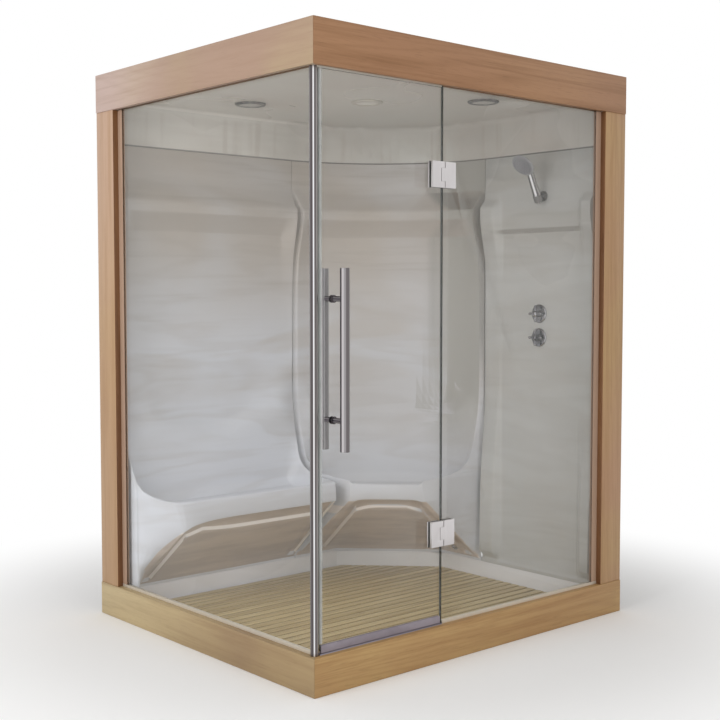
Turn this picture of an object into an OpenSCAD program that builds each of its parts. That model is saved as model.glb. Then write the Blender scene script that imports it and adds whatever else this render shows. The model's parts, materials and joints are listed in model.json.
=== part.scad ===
// Corner steam sauna cabin: timber casing, two glass sides, hinged glass door,
// moulded bench units with heel recesses, domed ceiling, shower and duckboard floor.
// Front (door) faces -Y, the other glass side faces -X, the origin is the middle of the footprint.

/* [Cabin] */
// Overall width across the front
cabin_w = 1640; // [1500:10:1900]
// Overall depth from the front to the back
cabin_d = 1400; // [1300:10:1600]
// Overall height
cabin_h = 2200; // [2180:10:2300]
// Space behind the moulded walls for frame and pipes
service_gap = 70; // [66:1:90]

/* [Timber casing] */
// Height of the top fascia boards
fascia_h = 150; // [140:5:200]
// Thickness of the fascia boards
fascia_t = 20; // [16:1:20]
// Height of the bottom sills
sill_h = 130; // [115:5:150]
// Width of the timber posts
post_w = 130; // [110:5:180]
// Thickness of posts and sills
post_t = 45; // [42:1:50]
// Step of the posts behind the fascia
post_setback = 3; // [1:0.5:3]
// Depth of the head rails behind the fascia
head_rail_t = 30; // [24:1:30]
// Height of the head rails
head_rail_h = 72; // [50:1:80]

/* [Glass] */
// Step of the glass behind the timber faces
glass_inset = 28; // [26:0.5:29]
// Glass thickness
glass_t = 8; // [6:1:10]
// Radius of the round metal corner post
corner_post_r = 13.5; // [12.5:0.5:14]
// Width of the door glass
door_w = 560; // [500:5:640]
// Clearance of a pane in its channel
glass_play = 0.3; // [0.2:0.1:0.5]
// Wall of the glazing channels
channel_wall = 2; // [1.5:0.5:3]
// Height of the glazing channels
channel_h = 12; // [10:1:16]
// Depth of the upright glazing channels on the posts
jamb_channel = 32; // [24:1:40]

/* [Hinges] */
// Width of one hinge leaf
leaf_w = 52; // [44:1:60]
// Height of a hinge leaf
leaf_h = 92; // [80:1:110]
// Thickness of the outer leaf
leaf_t = 9; // [8.5:0.5:10]
// Thickness of the inner clamp plate
clamp_t = 6; // [5:0.5:8]
// Hinge pin radius
pin_r = 2.5; // [2:0.25:3]
// Running clearance of the hinge pin
pin_play = 0.05; // [0.02:0.01:0.1]
// Height of the middle knuckle
knuckle_h = 46; // [36:1:56]
// Reach of the middle knuckle into the door leaf
knuckle_reach = 14; // [10:1:18]
// Height of the upper hinge centre
hinge_top_z = 1740; // [1600:10:1800]
// Height of the lower hinge centre
hinge_low_z = 461; // [350:1:600]

/* [Door handle] */
// Handle bar radius
bar_r = 12.5; // [10:0.5:15]
// Length of the handle bars
bar_len = 600; // [450:10:800]
// Height of the middle of the handle
bar_mid_z = 1104; // [1000:2:1200]
// Spacing of the handle posts
bar_post_gap = 400; // [300:10:430]
// Distance of the outer bar from the glass
bar_out = 60; // [50:1:70]
// Distance of the inner bar from the glass
bar_in = 46; // [40:1:60]
// Distance of the bars from the door's free edge
bar_edge = 59; // [50:1:90]

/* [Bench units] */
// Radius of the rear corner of the moulded wall
corner_r = 620; // [560:10:650]
// Thickness of the moulded shells
shell_t = 8; // [6:0.5:10]
// Height of the bench lip above the ground
seat_h = 494; // [450:2:520]
// Height of the lip's front face
lip_face = 85; // [60:5:110]
// Reach of the bench in front of the wall
lip_reach = 325; // [280:5:350]
// Depth of the seat hollow below the lip
seat_dip = 48; // [30:1:60]
// Proud crest of the headrest roll
headrest = 57; // [40:1:65]
// Distance from the cabin's top down to the seam between walls and dome
seam_drop = 276; // [240:2:300]
// Depth of the groove round the raised panel of a heel recess
recess_dip = 11; // [6:1:14]
// Width of that groove
groove_w = 30; // [20:1:40]
// Reach of the left bench's end cheek in front of the wall
cheek_reach = 127; // [110:1:150]

/* [Floor] */
// Height of the tray rim that carries the walls
rim_z = 100; // [90:2:110]
// Ground clearance under the tray
tray_z = 6; // [5:1:8]
// Thickness of the tray floor
tray_t = 8; // [6:1:10]
// Width of one duckboard slat
slat_w = 38; // [30:1:50]
// Gap between the slats
slat_gap = 8; // [5:1:12]
// Thickness of a slat
slat_t = 12; // [10:1:16]
// Thickness of the duckboard bearers
bearer_t = 6; // [5:1:8]
// Width of the duckboard's bearers
bearer_w = 40; // [30:2:50]

/* [Dome and lights] */
// Distance from the cabin's top down to the flat ceiling
ceiling_drop = 104; // [90:1:110]
// Thickness of the dome shell
dome_t = 6; // [5:0.5:8]
// Side of the square roof bearers
roof_beam = 40; // [30:2:50]
// Outer radius of a downlight ring
lamp_r = 64; // [58:1:72]
// Height of a downlight can
can_h = 60; // [50:1:70]

/* [Shower] */
// Height of the upper shower control
flow_z = 1234; // [1200:2:1300]
// Height of the lower shower control
temp_z = 1131; // [1060:1:1140]
// Radius of the round control plates
rose_r = 40; // [34:1:44]
// Distance from the cabin's top down to the shower bracket
bracket_drop = 465; // [440:5:550]
// Radius of the shower head
head_r = 50; // [42:1:56]
// Radius of the hand shower's handle
stick_r = 14; // [12:0.5:15]
// Length of the handle above its bracket
stick_len = 112; // [90:1:130]
// Lean of the hand shower from the vertical, degrees
lean = 26.5; // [20:0.5:32]

/* [Hidden] */
$fn = 48;

eps = 0.01;
hw = cabin_w / 2;
hd = cabin_d / 2;
back_wall = hd - service_gap;
right_wall = hw - service_gap;
arc_cx = right_wall - corner_r;
arc_cy = back_wall - corner_r;
opening_top = cabin_h - fascia_h;
seam_z = cabin_h - seam_drop;
bracket_z = cabin_h - bracket_drop;
ceiling_z = cabin_h - ceiling_drop;
sill_x = -hw + post_t;
sill_y = -hd + post_t;
liner_x = -hw + post_setback + post_t + 2;
liner_y = -hd + post_setback + post_t + 2;
frame_w = 45;
mitre = 0.2;
rail_z = 20;
rail_h = 60;

glass_x = -hw + glass_inset;
glass_y = -hd + glass_inset;
jamb_y = hd - post_w;
jamb_x = hw - post_w;
head_z = opening_top + 18;
post_cx = -hw + glass_inset;
post_cy = -hd + glass_inset + 6.5;
door_x0 = post_cx + corner_post_r + 6.5;
hinge_x = door_x0 + door_w + 2;
pane_gap = 2;
gasket_t = 1;
hinge_y = glass_y - gasket_t - leaf_t / 2;
leaf_gap = leaf_t / 2 + 0.8;
door_z0 = sill_h + 12;
door_z1 = opening_top - 4;
notch = knuckle_reach + 2.5;
notch_h = knuckle_h + 4;
screw_r = 3;
screw_z = 28;

tray_top = tray_z + tray_t;
base_step = 15;
base_r = corner_r - base_step;
apron_z = rim_z + 12;
lip_low_z = seat_h - lip_face;
ceiling_back = 30;
floor_in = 12;
board_play = 4;
board_z = tray_top + bearer_t;
waste = [200, -150];
waste_r = 45;

lamps = [[-318, 328], [12, -21], [352, -344]];
control_y = -317;
shower_y = -345;
panel_skin = 8;
panel_proud = 20;
panel_face = right_wall - panel_skin;
spindle_r = 5;
sleeve_r = 12.7;
boss_face = right_wall - panel_proud;
pivot_r = 8.5;
pivot_x = boss_face - 5 - pivot_r - 2;
pivot_z = bracket_z;
stick_off = stick_r + 10.5;
cone_h = 28;
cone_low = stick_r - 1.5;

function clamp01(t) = max(0, min(1, t));
function ease(t) = let (c = clamp01(t)) c * c * (3 - 2 * c);
function mix(a, b, t) = a + (b - a) * t;
function unit(v) = v / max(norm(v), 0.0001);
function flat(v) = [v[0], v[1], 0];

// Moulded shells: a grid of points, rows upwards and columns clockwise along the wall,
// given a wall by moving each point back along the surface's normal.
function back_normal(g, r, c) =
    let (
        rows = len(g),
        cols = len(g[0]),
        du = g[r][min(c + 1, cols - 1)] - g[r][max(c - 1, 0)],
        dv = g[min(r + 1, rows - 1)][c] - g[max(r - 1, 0)][c],
        n = cross(dv, du))
    unit(r == 0 || r == rows - 1 ? flat(n) : n);

function quad(a, b, c, d) = [[a, b, c], [a, c, d]];

module moulded_shell(g, t) {
    rows = len(g);
    cols = len(g[0]);
    total = rows * cols;
    front = [for (r = [0:rows - 1]) for (c = [0:cols - 1]) g[r][c]];
    back = [for (r = [0:rows - 1]) for (c = [0:cols - 1]) g[r][c] + t * back_normal(g, r, c)];
    sheets = [for (r = [0:rows - 2]) for (c = [0:cols - 2])
        let (a = r * cols + c, b = a + 1, d = a + cols, e = d + 1)
        for (f = concat(quad(a, d, e, b), quad(total + a, total + b, total + e, total + d))) f];
    ends = [for (r = [0:rows - 2])
        let (a = r * cols, b = a + cols, p = a + cols - 1, q = b + cols - 1)
        for (f = concat(quad(a, total + a, total + b, b), quad(p, q, total + q, total + p))) f];
    rims = [for (c = [0:cols - 2])
        let (a = c, b = c + 1, p = (rows - 1) * cols + c, q = p + 1)
        for (f = concat(quad(a, b, total + b, total + a), quad(p, total + p, total + q, q))) f];
    polyhedron(points = concat(front, back), faces = concat(sheets, ends, rims), convexity = 8);
}

// Height of a share of the way from the bench lip up to the seam under the dome
function wall_z(share) = mix(seat_h, seam_z, share);
roll_low = wall_z(0.634);
roll_top = wall_z(0.864);
head_low = wall_z(0.76);

// Depth of the shells in front of the wall, by height: at the rolled side edges and in the middle.
function roll(z, low, top) = ease((z - low) / (top - low - 50)) * (1 - ease((z - top + 40) / 90));
function edge_depth(z) =
    12 * (1 - ease((z - roll_top + 40) / 90)) + (headrest - 12) * roll(z, roll_low, roll_top)
    + 36 * (1 - ease((z - seat_h - 60) / 330));
function smile(u) = seat_h + 190 + 170 * u * u;
function mid_depth(z, u, lumbar = 34, head = 50) =
    7 * (1 - ease((z - roll_top + 40) / 90)) + (head - 7) * roll(z, head_low, roll_top)
    + lumbar * (1 - ease((z - smile(u)) / 80));

// Bench section: crest of the side edge and line of the seat, as [share of the reach, height over the lip]
crest_line = [[1, 0], [0.9, 2], [0.72, 6], [0.54, 14], [0.38, 30], [0.26, 56], [0.19, 90], [0.16, 130]];
seat_line = [[1, 0], [0.93, -0.06], [0.79, -0.5], [0.55, -0.9], [0.34, -1], [0.2, -0.85], [0.145, -0.1], [0.13, 1.2]];
cheek_line = [[1, 4], [1, 16], [0.99, 32], [0.95, 50], [0.86, 72], [0.74, 98], [0.62, 128], [0.54, 160]];
back_shares = [0.135, 0.16, 0.19, 0.225, 0.27, 0.34, 0.46, 0.6, 0.7, 0.76, 0.79, 0.815, 0.843, 0.871, 0.903];
back_heights = [for (s = back_shares) wall_z(s)];
// Rows of the apron from the base to the lip, and where its groove lies at the border and above the panel
apron_rows = [0, 0.035, 0.07, 0.3, 0.6, 0.85, 0.875, 0.97, 1];
groove_side = [0, 0, 1, 1, 1, 1, 1, 1, 0];
groove_top = [0, 0, 0, 0, 0, 0, 1, 1, 0];
lip_steps = [[0.3, 1.012], [0.75, 1.009], [0.93, 0.998]];

// One column of a bench unit: wall, base, low lip and top lip points in plan, share of the
// middle section, groove (0 none, 1 border, from 2 panel, its fraction the drop of the panel's
// corner), place across the back from -1 to 1, drop of the lip's top and of its low edge, own
// reach and own crest where it has them
function column(wall, base, low, top, blend, groove, u, drop = 0, sag = 0, reach = lip_reach, crest = crest_line) =
    [wall, base, low, top, blend, groove, u, drop, sag, reach, crest];

function at(p, z) = [p[0], p[1], z];
function bench_column(k) =
    let (
        wall = k[0],
        base = k[1],
        low = k[2],
        top = k[3],
        blend = k[4],
        inward = unit(base - low),
        low_z = lip_low_z - k[8],
        lip_top = seat_h - k[7],
        apron = [for (i = [0:len(apron_rows) - 1])
            let (
                s = apron_rows[i] - (i == 5 || i == 6 ? max(0, k[5] - 2) : 0),
                sink = recess_dip * (k[5] == 0 ? 0 : k[5] == 1 ? groove_side[i] : groove_top[i]))
            at(mix(base, low, s) + inward * sink * 0.7, mix(apron_z, low_z, s) + sink * 0.7)],
        lip = [for (s = lip_steps)
            at(wall + (mix(low, top, s[0]) - wall) * s[1], mix(low_z, lip_top, s[0]))],
        seat = [for (i = [0:len(crest_line) - 1])
            let (
                share = mix(k[10][i][0], seat_line[i][0], blend),
                rise = mix(k[10][i][1], seat_line[i][1] * seat_dip, blend))
            at(wall + (top - wall) * share * (i == 0 ? 0.972 : 1) , lip_top + rise)],
        upper = [for (z = back_heights)
            let (depth = mix(edge_depth(z), mid_depth(z, k[6]), blend)
                + (k[9] < lip_reach ? 22 * (1 - ease((z - back_heights[0]) / 300)) : 0))
            at(wall + (top - wall) * depth / k[9], z)])
    concat([at(base, rim_z)], apron, lip, seat, upper, [at(wall, seam_z)]);

// Column a share of the way between two others, swollen outwards below the seat's crest
function between(a, b, t, push) =
    [for (i = [0:len(a) - 1]) mix(a[i], b[i], t) + 4 * t * (1 - t) * (i == 0 || i > 18 ? 0 : i > 13 ? 0.5 : 1) * push];

function transpose(m) = [for (r = [0:len(m[0]) - 1]) [for (c = [0:len(m) - 1]) m[c][r]]];

// Shares across the corner unit: on the base, on the lip's low edge and on the wall
base_shares = [0, 0.05, 0.097, 0.108, 0.143, 0.155, 0.241, 0.5, 0.759, 0.922, 0.934, 0.966, 0.977, 0.989, 1];
low_shares = [-0.13, -0.05, 0, 0.03, 0.13, 0.16, 0.33, 0.53, 0.73, 0.9, 0.93, 1.03, 1.06, 1.11, 1.19];
wall_shares = [0, 0.02, 0.05, 0.1, 0.16, 0.23, 0.36, 0.5, 0.64, 0.77, 0.84, 0.9, 0.95, 0.98, 1];
blend_shares = [0, 0.18, 0.55, 0.93, 1, 1, 1, 1, 1, 1, 1, 0.93, 0.55, 0.18, 0];
groove_on = [0, 0, 0, 1, 1, 2.07, 2, 2, 2, 2.07, 1, 1, 0, 0, 0];
low_sag = [8, 9, 6, 3, 0, 0, 0, 0, 0, 0, 0, 3, 6, 9, 8];

seam_gap = 1;
crest_in = 13;
left_x1 = arc_cx - seam_gap;
lip_y = back_wall - lip_reach;
base_y = back_wall - base_step;

module frame_rails() {
    color("lightsteelblue") {
        translate([sill_x, hd - frame_w, rail_z])
            cube([hw - frame_w - mitre - sill_x, frame_w, rail_h]);
        translate([hw - frame_w, sill_y, rail_z]) cube([frame_w, hd - sill_y, rail_h]);
    }
}

module levelling_feet() {
    rail_mid_x = hw - frame_w / 2;
    rail_mid_y = hd - frame_w / 2;
    color("dimgray") {
        for (x = [sill_x + 60, 0, rail_mid_x]) translate([x, rail_mid_y, 0]) levelling_foot();
        for (y = [sill_y + 60, 0]) translate([rail_mid_x, y, 0]) levelling_foot();
        for (x = [-hw + 160, 0, right_wall - 60]) for (y = [-hd + 120, 0, back_wall - 60])
            translate([x, y, 0]) cylinder(h = tray_z, r = 26);
    }
}

module levelling_foot() {
    cylinder(h = 8, r = 20);
    translate([0, 0, 8]) cylinder(h = rail_z - 8, r = 8);
}

module floor_outline(in_x, in_y, in_wall) {
    r = base_r - in_wall;
    half = r * tan(22.5);
    polygon([
        [in_x, in_y],
        [arc_cx + r, in_y],
        [arc_cx + r, arc_cy + half],
        [arc_cx + half, arc_cy + r],
        [in_x, arc_cy + r]]);
}

module shower_tray() {
    out_x = right_wall + 20;
    out_y = back_wall + 20;
    low_rim = 46;
    color("ghostwhite") difference() {
        translate([sill_x, sill_y, tray_z]) cube([out_x - sill_x, out_y - sill_y, rim_z - tray_z]);
        translate([0, 0, tray_top]) linear_extrude(rim_z)
            floor_outline(sill_x + floor_in, sill_y + floor_in, 0);
        translate([sill_x - 1, sill_y - 1, tray_top + low_rim])
            cube([floor_in + 1, base_y - sill_y + 1, rim_z]);
        translate([sill_x - 1, sill_y - 1, tray_top + low_rim])
            cube([arc_cx + base_r - sill_x + 1, floor_in + 1, rim_z]);
        translate([waste[0], waste[1], 0]) cylinder(h = rim_z, r = waste_r);
    }
}

module drain_flange() {
    color("silver") translate([waste[0], waste[1], 0]) difference() {
        union() {
            translate([0, 0, 3]) cylinder(h = tray_top - 3, r = waste_r - 0.3);
            translate([0, 0, tray_top]) cylinder(h = 2, r = waste_r + 8);
        }
        translate([0, 0, 2]) cylinder(h = tray_top + 2, r = waste_r - 15);
    }
}

module drain_grate() {
    color("gainsboro") translate([waste[0], waste[1], tray_top + 2]) difference() {
        cylinder(h = 2, r = waste_r);
        for (ring = [1:3]) for (i = [0:ring * 6 - 1])
            rotate(i * 60 / ring) translate([ring * 8, 0, -1]) cylinder(h = 4, r = 2.2);
        translate([0, 0, -1]) cylinder(h = 4, r = 2.2);
    }
}

module duckboard_bearers() {
    y0 = sill_y + floor_in + board_play + 10;
    color("peru") translate([0, 0, tray_top]) difference() {
        intersection() {
            linear_extrude(bearer_t) floor_outline(sill_x + floor_in, y0, board_play + 6);
            for (share = [0.08, 0.34, 0.555, 0.878])
                translate([cabin_w * share - hw, y0, 0]) cube([bearer_w, cabin_d, bearer_t]);
        }
        translate([waste[0], waste[1], -1]) cylinder(h = 2 * bearer_t, r = waste_r + 10);
    }
}

module duckboard_slats() {
    pitch = slat_w + slat_gap;
    y0 = sill_y + floor_in + board_play;
    y1 = base_y - board_play;
    count = floor((y1 - y0 + slat_gap) / pitch);
    color("tan") translate([0, 0, board_z]) intersection() {
        linear_extrude(slat_t) floor_outline(sill_x + floor_in + board_play, y0 - 1, board_play);
        for (i = [0:count - 1]) translate([sill_x, y0 + i * pitch, 0])
            cube([right_wall - sill_x, slat_w, slat_t]);
    }
}

module sill_front() {
    color("burlywood") linear_extrude(sill_h)
        polygon([[-hw, -hd], [hw, -hd], [hw, sill_y], [sill_x, sill_y]]);
}

module sill_left() {
    color("burlywood") linear_extrude(sill_h)
        polygon([[-hw, -hd], [sill_x, sill_y], [sill_x, hd], [-hw, hd]]);
}

module post_left() {
    color("burlywood") translate([-hw + post_setback, jamb_y, sill_h])
        cube([post_t, post_w, opening_top - sill_h]);
}

module post_right() {
    color("peru") translate([jamb_x, -hd + post_setback, sill_h])
        cube([post_w, post_t, opening_top - sill_h]);
}

module rear_corner_post() {
    z0 = rail_z + rail_h;
    color("lightsteelblue") translate([hw - frame_w, hd - frame_w, z0])
        cube([frame_w, frame_w, opening_top - z0]);
}

stud_xs = [-330, arc_cx];
stud_ys = [arc_cy, -130, -520];

module wall_studs() {
    z0 = rail_z + rail_h;
    tall = opening_top - z0;
    color("lightsteelblue") {
        for (x = stud_xs) translate([x - 20, hd - frame_w, z0]) cube([40, frame_w, tall]);
        for (y = stud_ys) translate([hw - frame_w, y - 20, z0]) cube([frame_w, 40, tall]);
    }
}

module wall_battens() {
    batten_z = seam_z - 94;
    deep_y = hd - frame_w - back_wall - shell_t;
    deep_x = hw - frame_w - right_wall - shell_t;
    color("wheat") {
        translate([liner_x + 10, back_wall + shell_t, batten_z])
            cube([arc_cx - 60 - liner_x, deep_y, 50]);
        translate([right_wall + shell_t, liner_y + 10, batten_z])
            cube([deep_x, arc_cy - 60 - liner_y, 50]);
        translate([valve_back, stud_ys[2] + 20, temp_z + 20])
            cube([18, stud_ys[1] - stud_ys[2] - 40, 60]);
    }
}

module top_rails() {
    tall = ceiling_z + dome_t - opening_top;
    color("lightsteelblue") {
        translate([-hw + fascia_t + head_rail_t, hd - frame_w, opening_top])
            cube([2 * hw - fascia_t - head_rail_t - frame_w - mitre, frame_w, tall]);
        translate([hw - frame_w, -hd + fascia_t, opening_top])
            cube([frame_w, 2 * hd - fascia_t, tall]);
    }
}

module head_rails() {
    a = fascia_t;
    b = fascia_t + head_rail_t;
    color("wheat") translate([0, 0, head_z]) linear_extrude(head_rail_h) {
        polygon([[-hw + a, -hd + a], [hw - frame_w, -hd + a], [hw - frame_w, -hd + b], [-hw + b, -hd + b]]);
        polygon([[-hw + a, -hd + a + mitre], [-hw + b, -hd + b + mitre], [-hw + b, hd], [-hw + a, hd]]);
    }
}

module roof_bearers() {
    x0 = -hw + fascia_t + head_rail_t;
    color("wheat") for (share = [0.36, 0.61])
        translate([x0, cabin_d * share - hd - roof_beam / 2, ceiling_z + dome_t])
            cube([hw - 5 - x0, roof_beam, roof_beam]);
}

module fascia_front() {
    color("peru") translate([0, 0, opening_top]) linear_extrude(fascia_h)
        polygon([[-hw, -hd], [hw, -hd], [hw, -hd + fascia_t], [-hw + fascia_t, -hd + fascia_t]]);
}

module fascia_left() {
    color("burlywood") translate([0, 0, opening_top]) linear_extrude(fascia_h)
        polygon([[-hw, -hd], [-hw + fascia_t, -hd + fascia_t], [-hw + fascia_t, hd], [-hw, hd]]);
}

// Section of the dome's skirt, as distance in front of the wall and height
module skirt_section() {
    c = ceiling_z;
    polygon([[0, seam_z], [4, c - 26], [8, c - 12], [17, c - 3], [ceiling_back, c],
        [ceiling_back, c + dome_t], [13, c + dome_t - 1], [3, c - 6], [-2, c - 22], [-dome_t, seam_z]]);
}

module dome_ceiling() {
    x0 = -hw + fascia_t + head_rail_t;
    y0 = -hd + fascia_t + head_rail_t;
    r = corner_r - ceiling_back;
    color("whitesmoke") difference() {
        union() {
            translate([x0, back_wall, 0]) rotate([90, 0, 90]) linear_extrude(arc_cx - x0)
                mirror([1, 0]) skirt_section();
            translate([right_wall, arc_cy, 0]) rotate([90, 0, 0]) linear_extrude(arc_cy - y0)
                mirror([1, 0]) skirt_section();
            translate([arc_cx, arc_cy, 0]) rotate_extrude(angle = 90, $fn = 96)
                translate([corner_r, 0]) mirror([1, 0]) skirt_section();
            translate([0, 0, ceiling_z]) linear_extrude(dome_t) union() {
                translate([x0, y0]) square([arc_cx + r - x0, arc_cy - y0]);
                translate([x0, arc_cy]) square([arc_cx - x0, r]);
                intersection() {
                    translate([arc_cx, arc_cy]) circle(r, $fn = 96);
                    translate([arc_cx, arc_cy]) square(r);
                }
            }
        }
        for (p = lamps) translate([p[0], p[1], ceiling_z - 5]) cylinder(h = 20, r = lamp_r - 8);
    }
}

module downlight_rings() {
    color("silver") for (p = lamps) translate([p[0], p[1], ceiling_z]) rotate_extrude()
        polygon([[lamp_r - 18, -8], [lamp_r - 6, -8], [lamp_r, -4], [lamp_r, 0], [lamp_r - 15, 0],
            [lamp_r - 15, -6], [lamp_r - 18, -6]]);
}

module downlight_lenses() {
    color("ivory") for (p = lamps) translate([p[0], p[1], ceiling_z - 6])
        cylinder(h = 4, r = lamp_r - 15.3);
}

module downlight_cans() {
    r = lamp_r - 8.5;
    color("gray") for (p = lamps) translate([p[0], p[1], ceiling_z]) difference() {
        cylinder(h = can_h, r = r);
        translate([0, 0, -1]) cylinder(h = can_h - 1, r = r - 2);
    }
}

// Columns of the left unit from its end cheek to the seam: insets from its two ends at the recess
// and at the wall, share of the middle section, groove and sag of the lip's low edge
left_recess_in = [0, 8, 8 + groove_w, 16 + groove_w, 86 + groove_w];
left_wall_in = [0, 26, 58, 96, 150];
left_blend = [0, 0.5, 0.93, 1, 1];
left_groove = [0, 1, 1, 2.06, 2.01];
left_sag = [40, 33, 17, 14, 2];
// Ends of the recess at its base and at the lip, and end of the lip's crest, from the liner
recess_in = 72;
lip_low_in = 112;
lip_top_in = 70;

module left_bench_unit() {
    x0 = liner_x;
    x1 = left_x1;
    base_a = x0 + recess_in;
    low_a = x0 + lip_low_in;
    top_a = x0 + lip_top_in;
    wall_a = x0 + crest_in;
    base_b = x1 - 10;
    low_b = x1 - 10;
    wall_b = x1 - 9;
    last = 12;
    function inner(i) = clamp01((i - 4) / (last - 7));
    function place(a, b, inset, i) =
        i <= 4 ? a + inset[i]
        : i >= last - 3 ? b - inset[last - i]
        : mix(a + inset[4], b - inset[3], inner(i));
    function by_side(list, i) = i <= 4 ? list[i] : list[min(3, last - i)];
    border = left_wall_in[3];
    function across(i) =
        2 * clamp01((place(wall_a, wall_b, left_wall_in, i) - wall_a - border) / (wall_b - wall_a - 2 * border)) - 1;
    cheek = [[x0 + 3, cheek_reach - 12], [x0 + 6, cheek_reach - 3], [x0 + 12, cheek_reach]];
    columns = concat(
        [bench_column(column([x0, back_wall], [x0, base_y], [x0, back_wall - 1], [x0, back_wall - 1], 0, 0, -1))],
        [for (c = cheek)
            let (edge = [c[0], back_wall - c[1]])
            bench_column(column([c[0], back_wall], edge, edge - [0, 0.1], edge - [0, 0.1], 0, 0, -1,
                0, 0, c[1], cheek_line))],
        [for (i = [0:last]) bench_column(column(
            [place(wall_a, wall_b, left_wall_in, i), back_wall],
            [place(base_a, base_b, left_recess_in, i), base_y],
            [place(low_a, low_b, left_recess_in, i), lip_y + (i == 0 ? 18 : i == 1 ? 11 : i == 2 ? 2 : 0)],
            [place(top_a, low_b, left_wall_in, i), lip_y + (i == 0 ? 20 : i == 1 ? 5 : 0)],
            by_side(left_blend, i), by_side(left_groove, i), across(i),
            0, i <= 4 ? left_sag[i] : 0))],
        [bench_column(column([x1, back_wall], [x1, base_y], [x1, back_wall - 1], [x1, back_wall - 1], 0, 0, 1))]);
    grid = transpose(concat(
        [for (i = [0:3]) columns[i]],
        [for (t = [0.12, 0.32, 0.56, 0.8]) between(columns[3], columns[4], t, [-7, -9, 0])],
        [for (i = [4:len(columns) - 1]) columns[i]]));
    color("white") moulded_shell(grid, shell_t);
}

// Plan points of the corner unit: on the rounded wall, on the three-sided base and on the lip
function wall_point(angle) = [arc_cx + corner_r * cos(angle), arc_cy + corner_r * sin(angle)];
function base_point(angle) =
    let (reach = min(base_r / max(sin(angle), 0.001), base_r / cos(angle - 45), base_r / max(cos(angle), 0.001)))
    [arc_cx + reach * cos(angle), arc_cy + reach * sin(angle)];
function swap(p) = [arc_cx + p[1] - arc_cy, arc_cy + p[0] - arc_cx];

corner_low = [arc_cx + 82, back_wall - lip_reach - 28];

module corner_bench_unit() {
    low_a = corner_low;
    top_a = [arc_cx + 62, back_wall - lip_reach - 8];
    wall_angle = 88.3;
    base_angle = 88.4;
    last = len(wall_shares) - 1;
    end_angle = 90 - 0.09;
    grid = transpose(concat(
        [bench_column(column(wall_point(end_angle), base_point(end_angle),
            wall_point(end_angle) - [0, 1], wall_point(end_angle) - [0, 1], 0, 0, -1))],
        [for (i = [0:last])
            let (
                s = low_shares[i],
                w = wall_shares[i],
                top_s = mix(clamp01(s), w, 0.5))
            bench_column(column(
                wall_point(mix(wall_angle, 90 - wall_angle, w)),
                base_point(mix(base_angle, 90 - base_angle, base_shares[i])),
                mix(low_a, swap(low_a), s),
                mix(top_a, swap(top_a), top_s),
                blend_shares[i], groove_on[i], 2 * w - 1, 14 * blend_shares[i], low_sag[i]))],
        [bench_column(column(wall_point(90 - end_angle), base_point(90 - end_angle),
            wall_point(90 - end_angle) - [1, 0], wall_point(90 - end_angle) - [1, 0], 0, 0, 1))]));
    color("white") difference() {
        moulded_shell(grid, shell_t);
        steam_axis(-20) cylinder(h = 60, r = steam_r + 0.3);
    }
}

// Shower wall: the same rolled edges round a flat inner panel
module shower_wall_panel() {
    y1 = arc_cy - seam_gap;
    y0 = liner_y;
    ledge = wall_z(0.758);
    fade = wall_z(0.948);
    wide = y1 - y0;
    heights = concat([for (s = [0.03, 0.25, 0.6, 0.9]) mix(rim_z + 26, wall_z(0.6), s)],
        [for (s = [0.6, 0.66, 0.72]) wall_z(s)], [for (d = [-4, 4, 14, 24, 32]) ledge + d],
        [for (s = [0.8, 0.815, 0.843, 0.871, 0.903, 0.948, 0.976]) wall_z(s)]);
    function panel_depth(z) = mix(panel_skin, panel_proud, ease((z - ledge) / 28)) * (1 - ease((z - fade) / 110));
    ends = [0, 18, 44, 80, 88, 104, 118, 126, 260, wide - 128, wide - 118, wide - 96, wide - 80, wide - 30, wide - 16, wide];
    blends = [0, 0, 0.03, 0.08, 0.14, 0.55, 0.95, 1, 1, 1, 0.95, 0.5, 0.1, 0, 0, 0];
    flange = [1, 0, 0, 0, 0, 0, 0, 0, 0, 0, 0, 0, 0, 0, 0, 1];
    last = len(ends) - 1;
    function depth(z, i) =
        flange[i] == 1 ? 0
        : i == last - 1 ? min(14, edge_depth(z))
        : mix(max(edge_depth(z), panel_depth(z)), panel_depth(z), blends[i]);
    function spot(d, i, z) = [right_wall - d, y1 - ends[i], z];
    grid = concat(
        [[for (i = [0:last]) spot(base_step, i, rim_z)]],
        [[for (i = [0:last]) spot(flange[i] == 1 ? base_step - 2 : base_step, i, rim_z + 14)]],
        [[for (i = [0:last]) spot(flange[i] == 1 ? 6 : mix(base_step, panel_skin, blends[i]), i, rim_z + 26)]],
        [for (z = heights) [for (i = [0:last]) spot(depth(z, i), i, z)]],
        [[for (i = [0:last]) spot(0, i, seam_z)]]);
    color("white") difference() {
        moulded_shell(grid, shell_t);
        for (z = [flow_z, temp_z]) translate([right_wall - 60, control_y, z])
            rotate([0, 90, 0]) cylinder(h = 120, r = sleeve_r + 0.3);
        translate([right_wall - 90, shower_y, bracket_z]) rotate([0, 90, 0])
            cylinder(h = 160, r = sleeve_r + 0.3);
    }
}

module joint_strips() {
    z0 = seat_h + 30;
    color("white") {
        translate([arc_cx - 9, back_wall + shell_t, z0]) cube([18, 4, seam_z - z0]);
        translate([right_wall + shell_t, arc_cy - 9, z0]) cube([4, 18, seam_z - z0]);
    }
}

module side_glass() {
    z0 = sill_h + channel_wall;
    y0 = post_cy + 6;
    color("lightcyan", 0.35) translate([glass_x, y0, z0])
        cube([glass_t, jamb_y - channel_wall - glass_play - y0, head_z - channel_wall - glass_play - z0]);
}

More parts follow.
